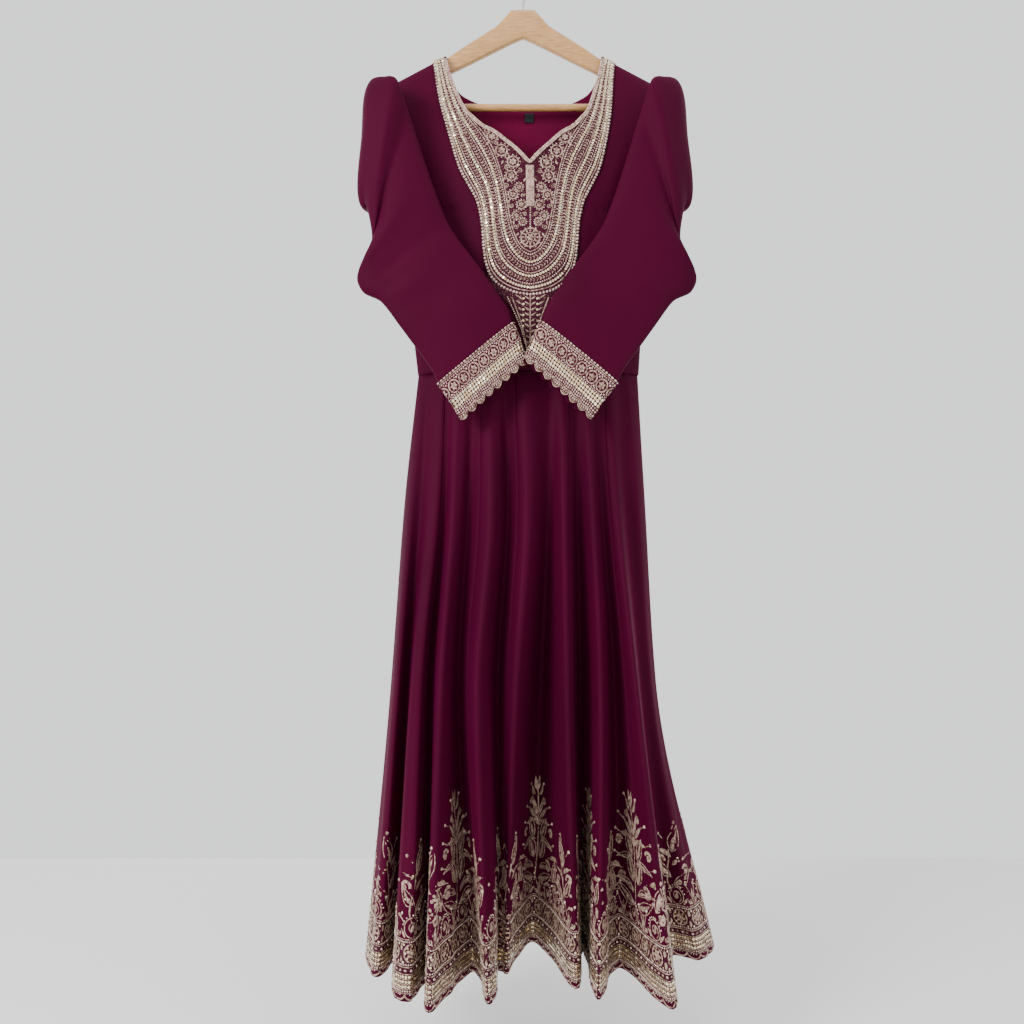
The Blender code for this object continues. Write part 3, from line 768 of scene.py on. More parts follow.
antique_thread = gold_thread("antique_thread", THREAD_DARK, THREAD_LIGHT, 0.48, 0.2)
pearl_bead = gold_thread("pearl_bead", (0.30, 0.19, 0.15, 1), (0.80, 0.64, 0.53, 1), 0.3, 0.15)
sequin_gold_painted_glint = spangle_gold_painted_glint()

# Yoke embroidery
# Rows of braid, beads and sequins follow the yoke's outline from the shoulders round its foot,
# a field of rosettes and scrolls fills the middle, and leaves and sequins run down the tail.

# Half width of the inner and of the outer row by height, in mm, down to where each crosses over.
INNER_ROW = (
    (118, -142),
    (101, -200),
    (84, -236),
    (66, -262),
    (54, -284),
    (43, -318),
    (37, -345),
    (32, -376),
    (27, -402),
    (19, -424),
    (9, -437),
    (0, -441),
)
OUTER_ROW = (
    (134, -142),
    (126, -212),
    (115, -265),
    (101, -316),
    (89, -340),
    (76, -367),
    (70, -396),
    (66, -444),
    (60, -469),
    (49, -485),
    (32, -496),
    (15, -501),
    (0, -503),
)
# Share of the way from the inner to the outer row, and what is worked there.
YOKE_ROWS = (
    (0.0, "cord"),
    (0.07, "beads"),
    (0.16, "braid"),
    (0.25, "sequins"),
    (0.33, "beads"),
    (0.42, "braid"),
    (0.51, "cord"),
    (0.58, "sequins"),
    (0.67, "braid"),
    (0.76, "beads"),
    (0.84, "sequins"),
    (0.92, "cord"),
    (1.0, "pearls"),
)
# How far apart each kind of row is worked, and the radius and height of its beads, in mm.
ROW_PITCH = {"cord": 4, "beads": 3.3, "pearls": 4.9, "sequins": 4.3, "braid": 4.8}
BEAD_SIZES = {"beads": (1.25, 1.2), "pearls": (2.1, 1.9)}
# Rosettes beside the neckline: across, height and radius in mm, each with its mirror image.
YOKE_ROSETTES = (
    (53, -268, 8),
    (40, -290, 8.5),
    (24, -308, 8),
    (27, -329, 7.5),
    (16, -346, 5.5),
    (25, -357, 6.5),
    (13, -372, 6),
    (20, -388, 5.5),
    (11, -397, 4.5),
)
# Scrolls between them: across, height and radius in mm, where the curl starts and its turns.
YOKE_SCROLLS = (
    (62, -258, 5, 0.4, 1.1),
    (47, -278, 4.5, 2.2, -1.1),
    (33, -300, 5, 0.2, 1.2),
    (33, -317, 4, 2.6, -1.1),
    (15, -322, 4, 1.2, 1.2),
    (34, -344, 4, 0.3, 1.1),
    (11, -358, 3.6, 2.6, 1.1),
    (27, -373, 4, 1.0, -1.2),
    (8, -386, 3.4, 0.4, 1.1),
    (21, -404, 4, 2.4, 1.2),
)
# Leaves between them: across and height in mm, direction in radians and length in mm.
YOKE_LEAVES = (
    (58, -276, -0.9, 8),
    (38, -305, -1.4, 7),
    (20, -316, 2.4, 7),
    (36, -331, -1.2, 7),
    (9, -338, 2.0, 7),
    (30, -365, -1.3, 7),
    (7, -377, 1.9, 6),
    (24, -395, -1.7, 7),
    (17, -413, -1.2, 7),
)
# The ringed flower at the foot of the field: across, height and radius in mm.
MEDALLION = (0, -420, 13.5)
scatter = np.random.default_rng(7)


def rosette(thread, beads, x, y, radius):
    """A ringed flower inside a round of beads."""
    thread.ring(x, y, radius, 0.26 * radius)
    thread.flower(x, y, radius * 0.72, 6, 0.4 + x)
    for turn in np.arange(12) * math.pi / 6:
        beads.dome(*away(x, y, radius * 1.28, turn), 1.0 * MM, 1.1 * MM)


def scroll(thread, x, y, radius, start, turns, width):
    """A curling stem that winds in towards its eye."""
    steps = np.linspace(0, 1, int(16 * abs(turns)) + 4)
    angles = start + steps * turns * 2 * math.pi
    radii = radius * (1 - 0.8 * steps)
    line = np.stack([x + radii * np.cos(angles), y + radii * np.sin(angles)], 1)
    thread.cord(line, width)
    thread.dome(*line[-1], width * 0.9, 1.1 * MM)


def worked_row(thread, beads, spangles, line, kind):
    """One row of a border: a line of cord, beads, pearls, sequins or leaf braid."""
    spots, ways = even_walk(line, ROW_PITCH[kind] * MM)
    if kind == "cord":
        thread.cord(spots, 1.7 * MM)
        return
    for (x, y), (dx, dy) in zip(spots, ways):
        if kind == "sequins":
            tilt, lean = scatter.uniform(0.05, 0.3), scatter.uniform(0, 2 * math.pi)
            spangles.sequin(x, y, 1.9 * MM, tilt, lean)
        elif kind == "braid":
            angle = math.atan2(dy, dx)
            for slant in (0.66, -0.66):
                thread.leaf(x, y, angle + slant, 4.6 * MM, 1.8 * MM, 0.9 * MM)
        else:
            radius, tall = BEAD_SIZES[kind]
            beads.dome(x, y, radius * MM, tall * MM)


def mirrored(line):
    """The line and its mirror image, joined at its last point."""
    line = np.asarray(line)
    return np.vstack([line, line[-2::-1] * np.array((-1, 1))])


def stretch(table_mm, count):
    """Points at even steps along the smooth curve through a table."""
    table_mm = np.array(table_mm, float) * MM
    lengths = lengths_along(table_mm)
    stops = np.linspace(0, lengths[-1], count)
    return np.stack([curve_through(lengths, column, stops) for column in table_mm.T], 1)


yoke_thread, yoke_beads, yoke_sequins = Stitches(), Stitches(), Stitches()
inner_line, outer_line = stretch(INNER_ROW, 60), stretch(OUTER_ROW, 60)
for share, kind in YOKE_ROWS:
    row = mirrored(inner_line * (1 - share) + outer_line * share)
    worked_row(yoke_thread, yoke_beads, yoke_sequins, row, kind)
for x, y, radius in YOKE_ROSETTES:
    for hand in (-1, 1):
        rosette(yoke_thread, yoke_beads, hand * x * MM, y * MM, radius * MM)
for hand in (-1, 1):
    for x, y, radius, start, turns in YOKE_SCROLLS:
        turned = start if hand > 0 else math.pi - start
        scroll(yoke_thread, hand * x * MM, y * MM, radius * MM, turned, hand * turns, 1.3 * MM)
    for x, y, angle, length in YOKE_LEAVES:
        turned = angle if hand > 0 else math.pi - angle
        yoke_thread.leaf(hand * x * MM, y * MM, turned, length * MM, 3.4 * MM, curl=0.2 * hand)
x, y, radius = (value * MM for value in MEDALLION)
yoke_thread.ring(x, y, radius, 2.4 * MM, sides=28)
yoke_thread.ring(x, y, radius * 0.52, 1.6 * MM, sides=18)
yoke_thread.flower(x, y, radius * 0.45, 6)
for step in range(12):
    turn = step * math.pi / 6
    yoke_thread.leaf(*away(x, y, radius * 0.58, turn), turn, 4.6 * MM, 3 * MM)
    yoke_beads.dome(*away(x, y, radius * 1.16, turn), 1.1 * MM, 1.2 * MM)
worked_row(yoke_thread, yoke_beads, yoke_sequins, [(0, -377 * MM), (0, -404 * MM)], "beads")
tail_edge = stretch(((33, -507), (23, -529), (14, -550), (8, -570), (3, -586)), 20)
for hand in (-1, 1):
    edge = tail_edge * np.array((hand, 1))
    worked_row(yoke_thread, yoke_beads, yoke_sequins, edge, "beads")
    worked_row(yoke_thread, yoke_beads, yoke_sequins, edge * np.array((0.8, 1)), "cord")
worked_row(yoke_thread, yoke_beads, yoke_sequins, [(0, -505 * MM), (0, -588 * MM)], "cord")
for down in range(9):
    height = (-510 - 8 * down) * MM
    wide = float(curve_through(tail_edge[:, 1], tail_edge[:, 0], height)) * 0.72
    for hand in (-1, 1):
        yoke_thread.leaf(hand * 1.0 * MM, height, math.pi / 2 - hand * 1.0, min(wide, 9 * MM), 2.8 * MM)
        if wide > 10 * MM:
            yoke_thread.leaf(hand * 11 * MM, height, math.pi / 2 - hand * 1.0, wide - 9 * MM, 2.8 * MM)
            yoke_sequins.sequin(hand * 10 * MM, height + 1 * MM, 1.7 * MM, 0.2, height * 900)


def on_yoke(across, height, lift):
    """Lays stitches on the yoke."""
    return body_surface(across + axis(height), height, 1, YOKE_LIFT + EMBROIDERED + lift)


yoke_thread.piece("yoke_thread", on_yoke, antique_thread, "gold_embroidery")
yoke_beads.piece("yoke_beads", on_yoke, pearl_bead, "gold_embroidery")
yoke_sequins.piece("yoke_sequins", on_yoke, sequin_gold_painted_glint, "gold_embroidery")

# Neck binding and placket
# A narrow bias strip of satin turned over the neck's raw edge, worked with two rows of beads,
# and a straight strip of the same, beaded and corded, over the slit below the neck's point.

# The binding's width and how far below the shoulder it ends; the placket's width, top and foot.
BINDING_WIDTH = 5.5 * MM
BINDING_END = 9 * MM
PLACKET = (12 * MM, -314 * MM, -375 * MM)
TRIM_LIFT = YOKE_LIFT + EMBROIDERED + LAID_GAP
BINDING_PINK = (0.42, 0.26, 0.22, 1)
BINDING_SHADE = (0.24, 0.12, 0.10, 1)

top = NECK_CORNER_HEIGHT - BINDING_END
bottom = NECK_FRONT[0][1] * MM
heights = top + (bottom - top) * ease(90, 0.8)
neck_side = np.stack([look_up(NECK_FRONT, 1, 0, heights), heights], 1)
neck_line = np.vstack([neck_side * np.array((-1, 1)), neck_side[-2::-1]])
neck_ways = np.gradient(neck_line, axis=0)
neck_ways /= np.linalg.norm(neck_ways, axis=1, keepdims=True)
neck_out = np.stack([np.abs(neck_ways[:, 1]) * np.sign(neck_line[:, 0]), -np.abs(neck_ways[:, 0])], 1)


def beside_neck(aside):
    """A line at some distance from the neck's edge."""
    return neck_line + neck_out * aside


def on_binding(across, height, lift):
    """Lays stitches on the binding and the placket."""
    return body_surface(across + axis(height), height, 1, TRIM_LIFT + EMBROIDERED + lift)


def trim_sheet(name, rows):
    """A strip laid on the yoke through rows of places."""
    rows = np.array(rows)
    points = body_surface(rows[..., 0] + axis(rows[..., 1]), rows[..., 1], 1, TRIM_LIFT)
    return cloth(name, points, rows, EMBROIDERED, 1)


binding_satin = gold_thread("binding_satin", BINDING_SHADE, BINDING_PINK, 0.45, 0.05)
binding = trim_sheet("neck_trim", [beside_neck(BINDING_WIDTH * part) for part in (0, 0.25, 0.5, 0.75, 1)])
dress(binding, binding_satin, "gold_embroidery", "neck_binding")
binding_beads = Stitches()
for aside in (1.2 * MM, 4.3 * MM):
    worked_row(None, binding_beads, None, beside_neck(aside), "beads")
width, top, bottom = PLACKET
placket_rows = []
for height in np.linspace(top, bottom, 24):
    placket_rows.append([(width * part, height) for part in (-0.5, -0.25, 0, 0.25, 0.5)])
placket = trim_sheet("placket_trim", placket_rows)
dress(placket, binding_satin, "gold_embroidery", "placket_strip")
for across in (-4.4, 4.4):
    row = [(across * MM, top - 2 * MM), (across * MM, bottom + 2 * MM)]
    worked_row(None, binding_beads, None, row, "beads")
binding_braid = Stitches()
for across in (-2.1, 2.1):
    row = [(across * MM, top - 1 * MM), (across * MM, bottom + 1 * MM)]
    worked_row(binding_braid, None, None, row, "cord")
binding_beads.piece("trim_beads", on_binding, pearl_bead, "gold_embroidery")
binding_braid.piece("placket_braid", on_binding, antique_thread, "gold_embroidery")

# Size label
# A small piece of black woven tape with nothing on it, its ends folded under, caught by its
# upper edge in the seam inside the back neck.
LABEL_SIDE = 14 * MM
LABEL_CENTRE = (10 * MM, -215 * MM)
TAPE_DARK = (0.008, 0.008, 0.01, 1)
TAPE_LIGHT = (0.03, 0.03, 0.034, 1)

black_tape, tape_tree, tape_shader = plain_finish("black_tape", (0.012, 0.012, 0.014, 1), 0.6)
tape_weave = noise_on(tape_tree, "UV", (1, 6, 1), 900, 2)
banded_colour(tape_tree, tape_shader, tape_weave, TAPE_DARK, TAPE_LIGHT, 0.4, 0.6)
raise_grain(tape_tree, tape_shader, tape_weave, 0.4, 0.2 * MM)
tape_shader.inputs["Specular IOR Level"].default_value = 0.15
label_across, label_height = np.meshgrid(
    LABEL_CENTRE[0] + np.linspace(-0.5, 0.5, 7) * LABEL_SIDE,
    LABEL_CENTRE[1] + np.linspace(0.5, -0.5, 7) * LABEL_SIDE,
)
label_points = body_surface(label_across, label_height, 2, 0.0)
label_points[..., 1] -= LAID_GAP
label = cloth("neck_label", label_points, np.stack([label_across, label_height], -1), 0.7 * MM, 1)
dress(label, black_tape, "black_tape", "size_label")

# Sleeves
# Long georgette sleeves, each one piece with a seam under the arm, folded forward over the
# bodice at the armhole so that the cuffs meet in front. The cloth drags at the fold and elbow.
SLEEVE_GAP = 0.6 * MM
# How far the columns are drawn towards the tube's two folded edges, in radians.
EDGE_CLOSER = 0.2
# Upper and lower edge of the flat tube (across, height), how far forward its middle lies, its
# half depth and how blunt its edges are, for the left sleeve, in mm.
SLEEVE = (
    ("turned", -184, -197, -220, -424, 64, 16, 0.52),
    ("upper", -166, -250, -227, -453, 62, 15, 0.7),
    ("elbow", -141, -330, -243, -481, 66, 17, 0.7),
    ("elbow_low", -116, -398, -234, -502, 70, 16, 0.7),
    ("forearm_top", -93, -436, -208, -516, 74, 15, 0.65),
    ("forearm", -68, -470, -180, -553, 78, 13, 0.6),
    ("wrist", -30, -526, -140, -608, 81, 12, 0.6),
    ("cuff_top", -22, -549, -125, -633, 82, 11, 0.6),
    ("cuff_middle", -11, -575, -107, -658, 82, 10.5, 0.6),
    ("mouth", -1, -602, -90, -683, 82, 10, 0.6),
)
# How the sleeve turns forward at the armhole: the degrees of each section, the inner radius of the
# fold, then top, foot, lean and half depth before the turn and after half a turn, in mm, and
# how blunt each section's edges are.
FOLD_TURNS = (0, 14, 32, 58, 88, 120, 150)
FOLD_RADIUS = 3 * MM
FOLD_TOP = (-172.7, -190)
FOLD_BOTTOM = (-372, -375)
FOLD_LEAN = (0, 36)
FOLD_HALF_DEPTH = (28, 20)
FOLD_BLUNT = (1.0, 0.78, 0.66, 0.66, 0.7, 0.7, 0.7)
# How far both cuffs lie to one side, and how far the right one lies over the left.
CUFF_DRIFT = 3 * MM
RIGHT_OVER_LEFT = 18 * MM
# The section of the sleeve at which its cuff begins.
CUFF_FROM = 7
SLEEVE_COLUMNS = 112
# Creases of the sleeve: place along it (0 armhole, 1 mouth), from and to an angle in turns, the
# half width along the sleeve in mm, and how far they stand in mm.
SLEEVE_CREASES = (
    (0.42, 0.55, 0.92, 13, 3.0),
    (0.49, 0.58, 0.99, 12, -2.4),
    (0.56, 0.52, 0.86, 13, 3.4),
    (0.63, 0.60, 0.96, 12, -2.2),
    (0.70, 0.54, 0.80, 12, 2.4),
    (0.78, 0.66, 0.98, 14, 2.0),
    (0.50, 0.05, 0.40, 12, 1.4),
    (0.63, 0.10, 0.45, 12, 1.4),
)


def around_angles(side, count):
    """Angles round a tube, in the order in which its faces look out."""
    turn = 2 * math.pi * np.arange(count) / count
    turn = turn - EDGE_CLOSER * np.sin(2 * turn)
    return turn if side < 0 else turn[::-1]


def sleeve_ring(index, angles, side):
    """A section of the sleeve: 0 at its upper edge, a quarter turn on its side by the body."""
    name, upper_x, upper_z, lower_x, lower_z, forward, half_depth, blunt = SLEEVE[index]
    part = (index / (len(SLEEVE) - 1)) ** 2
    share = (1 + np.cos(angles)) / 2
    height = (lower_z + (upper_z - lower_z) * share) * MM
    across = -side * (lower_x + (upper_x - lower_x) * share) * MM
    across = across + middle(height) * (1 - part) + CUFF_DRIFT * part
    bulge = np.sign(np.sin(angles)) * np.abs(np.sin(angles)) ** blunt
    forward = (forward - bulge * half_depth) * MM
    if side > 0:
        forward = forward + RIGHT_OVER_LEFT * part
    return np.stack([across, -forward, height], -1)


def fold_ring(degrees, blunt, angles, side):
    """A section where the sleeve turns forward: at 0 degrees it is the armhole's own."""
    turn = math.radians(degrees)

    def between(ends):
        return (ends[0] + (ends[1] - ends[0]) * degrees / 180) * MM

    top, bottom = between(FOLD_TOP), between(FOLD_BOTTOM)
    height = (top + bottom) / 2 + (top - bottom) / 2 * np.cos(angles)
    bulge = np.sign(np.sin(angles)) * np.abs(np.sin(angles)) ** blunt
    reach = FOLD_RADIUS + between(FOLD_HALF_DEPTH) * (1 - bulge)
    out = reach * math.sin(turn) + between(FOLD_LEAN) * (1 - np.cos(angles)) / 2
    across = middle(height) + side * (half_width(height) + SLEEVE_GAP + out)
    return np.stack([across, reach * math.cos(turn) - ARMHOLE_HALF_DEPTH - FOLD_RADIUS, height], -1)


def smooth_rows(rings, per_gap):
    """Sections between the given ones, on smooth curves through their points."""
    rings = np.asarray(rings)
    made = []
    for i in range(len(rings) - 1):
        before = rings[max(i - 1, 0)]
        a, b = rings[i], rings[i + 1]
        later = rings[min(i + 2, len(rings) - 1)]
        for t in np.arange(per_gap) / per_gap:
            made.append(
                (2 * t**3 - 3 * t**2 + 1) * a
                + (t**3 - 2 * t**2 + t) * (b - before) * 0.4
                + (-2 * t**3 + 3 * t**2) * b
                + (t**3 - t**2) * (later - a) * 0.4
            )
    made.append(rings[-1])
    return np.array(made)


def grid_normals(points):
    """Unit normals of a closed grid of points, on the side where its faces look."""
    along = np.roll(points, -1, axis=1) - np.roll(points, 1, axis=1)
    down = np.gradient(points, axis=0)
    normals = np.cross(down, along)
    normals /= np.maximum(np.linalg.norm(normals, axis=-1, keepdims=True), 1e-12)
    return normals


def tube_spread(points):
    """A map in metres for a closed sheet: round it and along it."""
    closed = np.concatenate([points, points[:, :1]], axis=1)
    girth = np.linalg.norm(np.diff(closed, axis=1), axis=-1).sum(axis=1).mean()
    steps = np.linalg.norm(np.diff(closed, axis=0), axis=-1).mean(axis=1)
    along = np.concatenate([[0], np.cumsum(steps)])
    columns = closed.shape[1]
    across = np.repeat(np.linspace(0, girth, columns)[None], len(points), axis=0)
    return np.stack([across, np.repeat(-along[:, None], columns, axis=1)], -1)


def build_sleeve(side, name):
    """A sleeve: side -1 at the left of the picture, 1 at the right."""
    angles = around_angles(side, SLEEVE_COLUMNS)
    rings = [fold_ring(turn, blunt, angles, side) for turn, blunt in zip(FOLD_TURNS, FOLD_BLUNT)]
    rings += [sleeve_ring(index, angles, side) for index in range(len(SLEEVE))]
    points = smooth_rows(rings, 7)
    along = np.linspace(0, 1, len(points))[:, None]
    turns = (angles / (2 * math.pi))[None, :]
    lift = np.zeros(points.shape[:2])
    for place, start, end, wide, tall in SLEEVE_CREASES:
        slant = place + 0.05 * (turns - (start + end) / 2)
        fade = np.clip((turns - start) * 9, 0, 1) * np.clip((end - turns) * 9, 0, 1)
        lift += tall * MM * fade * np.exp(-(((along - slant) * 620 / wide) ** 2))
    ripple = np.sin(along * 31 + 5 * turns) * np.sin(turns * 12.6 + along * 9)
    lift += 0.5 * MM * ripple * np.clip(along * 6 - 1.2, 0, 1) * np.clip((0.8 - along) * 8, 0, 1)
    points = points + grid_normals(points) * lift[..., None]
    return cloth(name, points, tube_spread(points), CLOTH, 1, around=True)


# Cuff bands
# Each sleeve ends in a band of the same cloth, worked with pearls, ringed flowers, beads, cord
# and three rows of sequins, and cut into scallops at the wrist.
SCALLOPS = 16
SCALLOP_DEPTH = 6 * MM
CUFF_COLUMNS = 128
# Girth and length over which the cuff's work is drawn, in metres.
CUFF_GIRTH = 0.262
CUFF_LENGTH = 0.058
# Distance from the sleeve side, in mm, and what is worked there.
CUFF_ROWS = (
    (2.6, "pearls"),
    (6.2, "cord"),
    (9.0, "beads"),
    (29.8, "beads"),
    (33.2, "sequins"),
    (37.2, "sequins"),
    (41.2, "sequins"),
    (44.6, "beads"),
    (47.4, "beads"),
    (50.2, "cord"),
    (52.6, "beads"),
)
# Ringed flowers round the cuff: distance from the sleeve side and radius in mm, and how many.
CUFF_FLOWERS = (19.4, 7.4, 15)


def even_columns(ring, count):
    """Angles that divide a section's girth into equal lengths."""
    fine = np.linspace(0, 2 * math.pi, 1441)
    points = ring(fine)
    lengths = lengths_along(points)
    return np.interp(np.arange(count) / count * lengths[-1], lengths, fine)


def cuff_grid(side):
    """Points of the cuff: the sleeve's last sections moved out, with scallops at the wrist."""
    angles = even_columns(lambda fine: sleeve_ring(len(SLEEVE) - 1, fine, side), CUFF_COLUMNS)
    angles = angles if side < 0 else angles[::-1]
    rings = np.array([sleeve_ring(index, angles, side) for index in range(CUFF_FROM, len(SLEEVE))])
    ends = rings[-1].mean(axis=0) - rings[0].mean(axis=0)
    ends /= np.linalg.norm(ends)
    moved = []
    for ring in rings:
        out = np.cross(np.roll(ring, -1, axis=0) - np.roll(ring, 1, axis=0), ends)
        out /= np.linalg.norm(out, axis=1, keepdims=True)
        if np.sum(out * (ring - ring.mean(axis=0))) < 0:
            out = -out
        moved.append(ring + out * (CLOTH + LAID_GAP))
    points = smooth_rows(moved, 10)
    waves = np.abs(np.sin(np.pi * np.arange(CUFF_COLUMNS) * SCALLOPS / CUFF_COLUMNS))
    share = np.linspace(0, 1, len(points))[:, None, None] ** 6
    return points + share * ends * (SCALLOP_DEPTH * waves)[None, :, None]


def grid_lay(points, normals, columns, rows, lift):
    """Points at fractional columns and rows of a closed cloth grid, lifted off it."""
    high, wide = points.shape[:2]
    rows = np.clip(rows, 0, high - 1.001)
    columns = columns % wide
    r, c = rows.astype(int), columns.astype(int)
    a, b = (rows - r)[:, None], (columns - c)[:, None]
    d = (c + 1) % wide
    spots = (1 - a) * ((1 - b) * points[r, c] + b * points[r, d])
    spots = spots + a * ((1 - b) * points[r + 1, c] + b * points[r + 1, d])
    faced = (1 - a) * ((1 - b) * normals[r, c] + b * normals[r, d])
    faced = faced + a * ((1 - b) * normals[r + 1, c] + b * normals[r + 1, d])
    faced /= np.linalg.norm(faced, axis=1, keepdims=True)
    return spots + faced * lift[:, None]


def build_cuff(side, word):
    """The cuff's band and all that is worked on it."""
    points = cuff_grid(side)
    normals = grid_normals(points)
    band = cloth(f"cuff_cloth_{word}", points, tube_spread(points), EMBROIDERED, 1, around=True)
    dress(band, wine_georgette, "gold_embroidery", f"cuff_band_{word}")
    thread, beads, spangles = Stitches(), Stitches(), Stitches()
    for down, kind in CUFF_ROWS:
        worked_row(thread, beads, spangles, [(0, down * MM), (CUFF_GIRTH, down * MM)], kind)
    down, radius, count = CUFF_FLOWERS
    for step in range(count):
        x = (step + 0.5) * CUFF_GIRTH / count
        thread.ring(x, down * MM, radius * MM, 2.0 * MM, sides=16)
        thread.flower(x, down * MM, radius * 0.74 * MM, 6, 0.3)
        for up in (-1, 1):
            between = x + CUFF_GIRTH / count / 2
            beads.dome(between, (down + up * 6.4) * MM, 1.4 * MM, 1.3 * MM)
            beads.dome(between - 2.6 * MM, (down + up * 8) * MM, 1.0 * MM, 1.1 * MM)
            beads.dome(between + 2.6 * MM, (down + up * 8) * MM, 1.0 * MM, 1.1 * MM)
    arc = np.linspace(0, math.pi, 11)
    for step in range(SCALLOPS):
        start = step * CUFF_GIRTH / SCALLOPS
        outer_across = start + CUFF_GIRTH / SCALLOPS * (0.5 - 0.46 * np.cos(arc))
        outer_down = CUFF_LENGTH - 0.8 * MM - 0.2 * MM * np.sin(arc)
        thread.cord(np.stack([outer_across, outer_down], 1), 1.9 * MM, 1.0 * MM)
        inner_across = start + CUFF_GIRTH / SCALLOPS * (0.5 - 0.5 * np.cos(arc))
        inner_down = (54.2 + 0.6 * np.sin(arc)) * MM
        thread.cord(np.stack([inner_across, inner_down], 1), 1.2 * MM, 0.7 * MM)

    def on_cuff(across, down, lift):
        """Lays stitches on the cuff."""
        turn = across / CUFF_GIRTH * CUFF_COLUMNS
        place = down / CUFF_LENGTH * (len(points) - 1)
        return grid_lay(points, normals, turn, place, EMBROIDERED + lift)

    thread.piece(f"cuff_thread_{word}", on_cuff, antique_thread, "gold_embroidery")
    beads.piece(f"cuff_beads_{word}", on_cuff, pearl_bead, "gold_embroidery")
    spangles.piece(f"cuff_sequins_{word}", on_cuff, sequin_gold_painted_glint, "gold_embroidery")


for side, word in ((-1, "left"), (1, "right")):
    sleeve = build_sleeve(side, f"sleeve_cloth_{word}")
    dress(sleeve, wine_georgette, "wine_georgette", f"sleeve_{word}")
    build_cuff(side, word)

# Skirt
# Twelve flared kalis of georgette, narrow at the waist and wide at the hem, sewn side to side
# and hung from the bodice. The flare falls in deep folds, with soft ripples between them.

# Heights of the waist, the hip, the knee and the hem, in mm; rows of the cloth from the waist to
# the hem, and columns from one fold to the next.
HEIGHTS = (-612.7, -800, -1072, -1476)
SKIRT_ROWS = 112
SKIRT_STEPS = 10
WAIST = -612 * MM
WAIST_FOLD = 2 * MM
# Where each fold lies: across at the waist, then across and depth at the hip, the knee and the
# hem, in mm, from the left side round the front and back behind.
FOLDS = (
    ("side_left", -157, -177, -6, -196, -18, -231, -34),
    ("crest_a", -149, -164, -38, -182, -70, -207, -92),
    ("valley_a", -140, -150, -36, -168, -46, -187, -42),
    ("crest_b_left", -129, -136, -50, -158, -90, -177, -146),
    ("crest_b_right", -119, -124, -54, -144, -90, -152, -156),
    ("valley_b", -109, -113, -46, -134, -52, -135, -96),
    ("crest_c", -98, -102, -66, -119, -106, -128, -188),
    ("face_c", -86, -90, -62, -106, -90, -101, -134),
    ("valley_c", -72, -78, -48, -94, -54, -71, -74),
    ("crest_d", -50, -48, -76, -67, -112, -48, -165),
    ("edge_d", -38, -34, -66, -52, -92, -39, -138),
    ("valley_d", -26, -21, -48, -37, -52, -38, -70),
    ("crest_e", 4, 6, -80, -10, -100, -24, -80),
    ("valley_e", 38, 36, -48, 27, -22, 17, 22),
    ("crest_f", 58, 58, -74, 60, -106, 72, -123),
    ("valley_f", 76, 79, -48, 84, -36, 90, -2),
    ("crest_g", 92, 99, -70, 107, -104, 99, -153),
    ("valley_g", 108, 114, -46, 132, -52, 139, -62),
    ("crest_h", 126, 136, -58, 158, -108, 196, -179),
    ("valley_h", 142, 153, -30, 172, -38, 221, -24),
    ("crest_i", 156, 170, -26, 188, -30, 257, -38),
    ("side_right", 172, 183, 0, 199, -2, 288, 2),
    ("back_1", 160, 170, 20, 186, 22, 266, 38),
    ("back_2", 142, 148, 18, 164, 6, 236, 10),
    ("back_3", 120, 124, 36, 142, 42, 202, 44),
    ("back_4", 102, 106, 24, 120, 10, 162, 2),
    ("back_5", 80, 84, 40, 96, 43, 122, 44),
    ("back_6", 60, 62, 28, 72, 16, 88, 22),
    ("back_7", 36, 36, 42, 42, 44, 46, 46),
    ("back_8", 14, 12, 30, 12, 22, 14, 36),
    ("back_9", -10, -14, 42, -18, 44, -22, 46),
    ("back_10", -34, -38, 28, -46, 14, -56, 6),
    ("back_11", -58, -64, 40, -76, 43, -92, 44),
    ("back_12", -80, -86, 26, -100, 12, -122, 0),
    ("back_13", -102, -108, 36, -124, 40, -152, 42),
    ("back_14", -120, -128, 20, -144, 8, -178, -2),
    ("back_15", -138, -148, 22, -164, 24, -206, 30),
    ("back_16", -150, -166, 10, -184, 8, -225, 6),
)
# Each kali: its place, the fold whose flank its left seam runs down, and the width it is cut to
# at the waist and at the hem, in mm, seam allowances included.
KALIS = (
    ("front_1", "back_16", 80, 335),
    ("front_2", "crest_b_right", 75, 315),
    ("front_3", "valley_c", 70, 180),
    ("front_4", "valley_d", 100, 365),
    ("front_5", "crest_f", 70, 405),
    ("front_6", "valley_g", 95, 360),
    ("back_1", "side_right", 80, 165),
    ("back_2", "back_3", 85, 175),
    ("back_3", "back_6", 65, 100),
    ("back_4", "back_8", 90, 175),
    ("back_5", "back_11", 65, 125),
    ("back_6", "back_13", 70, 145),
)
# The part of the hem that is filled with netting, above the hem.
WORKED_FROM = 9 * MM
WORKED_TO = 78 * MM
# Ripples: height in mm above the hem where they fade out, how many go round, how far they stand
# in mm, and their phase.
RIPPLES = ((620, 61, 1.3, 0.4), (430, 97, 0.9, 2.1), (760, 37, 1.5, 4.0))


def fold_paths(heights):
    """Where every fold lies at every height: rows of heights, then folds, then across and depth."""
    paths = []
    for name, waist, hip_x, hip_y, knee_x, knee_y, hem_x, hem_y in FOLDS:
        across = curve_through(HEIGHTS, (waist, hip_x, knee_x, hem_x), heights / MM)
        first = 0.0
        if name.startswith("back"):
            first = float(body_depth(waist * MM, WAIST, 2)) + CLOTH / 2
        elif not name.startswith("side"):
            first = -float(body_depth(waist * MM, WAIST, 1)) - CLOTH / 2
        if name.startswith("valley"):
            first += WAIST_FOLD
        depth = curve_through(HEIGHTS, (first / MM, hip_y, knee_y, hem_y), heights / MM)
        paths.append(np.stack([across, depth], -1) * MM)
    return np.stack(paths, 1)


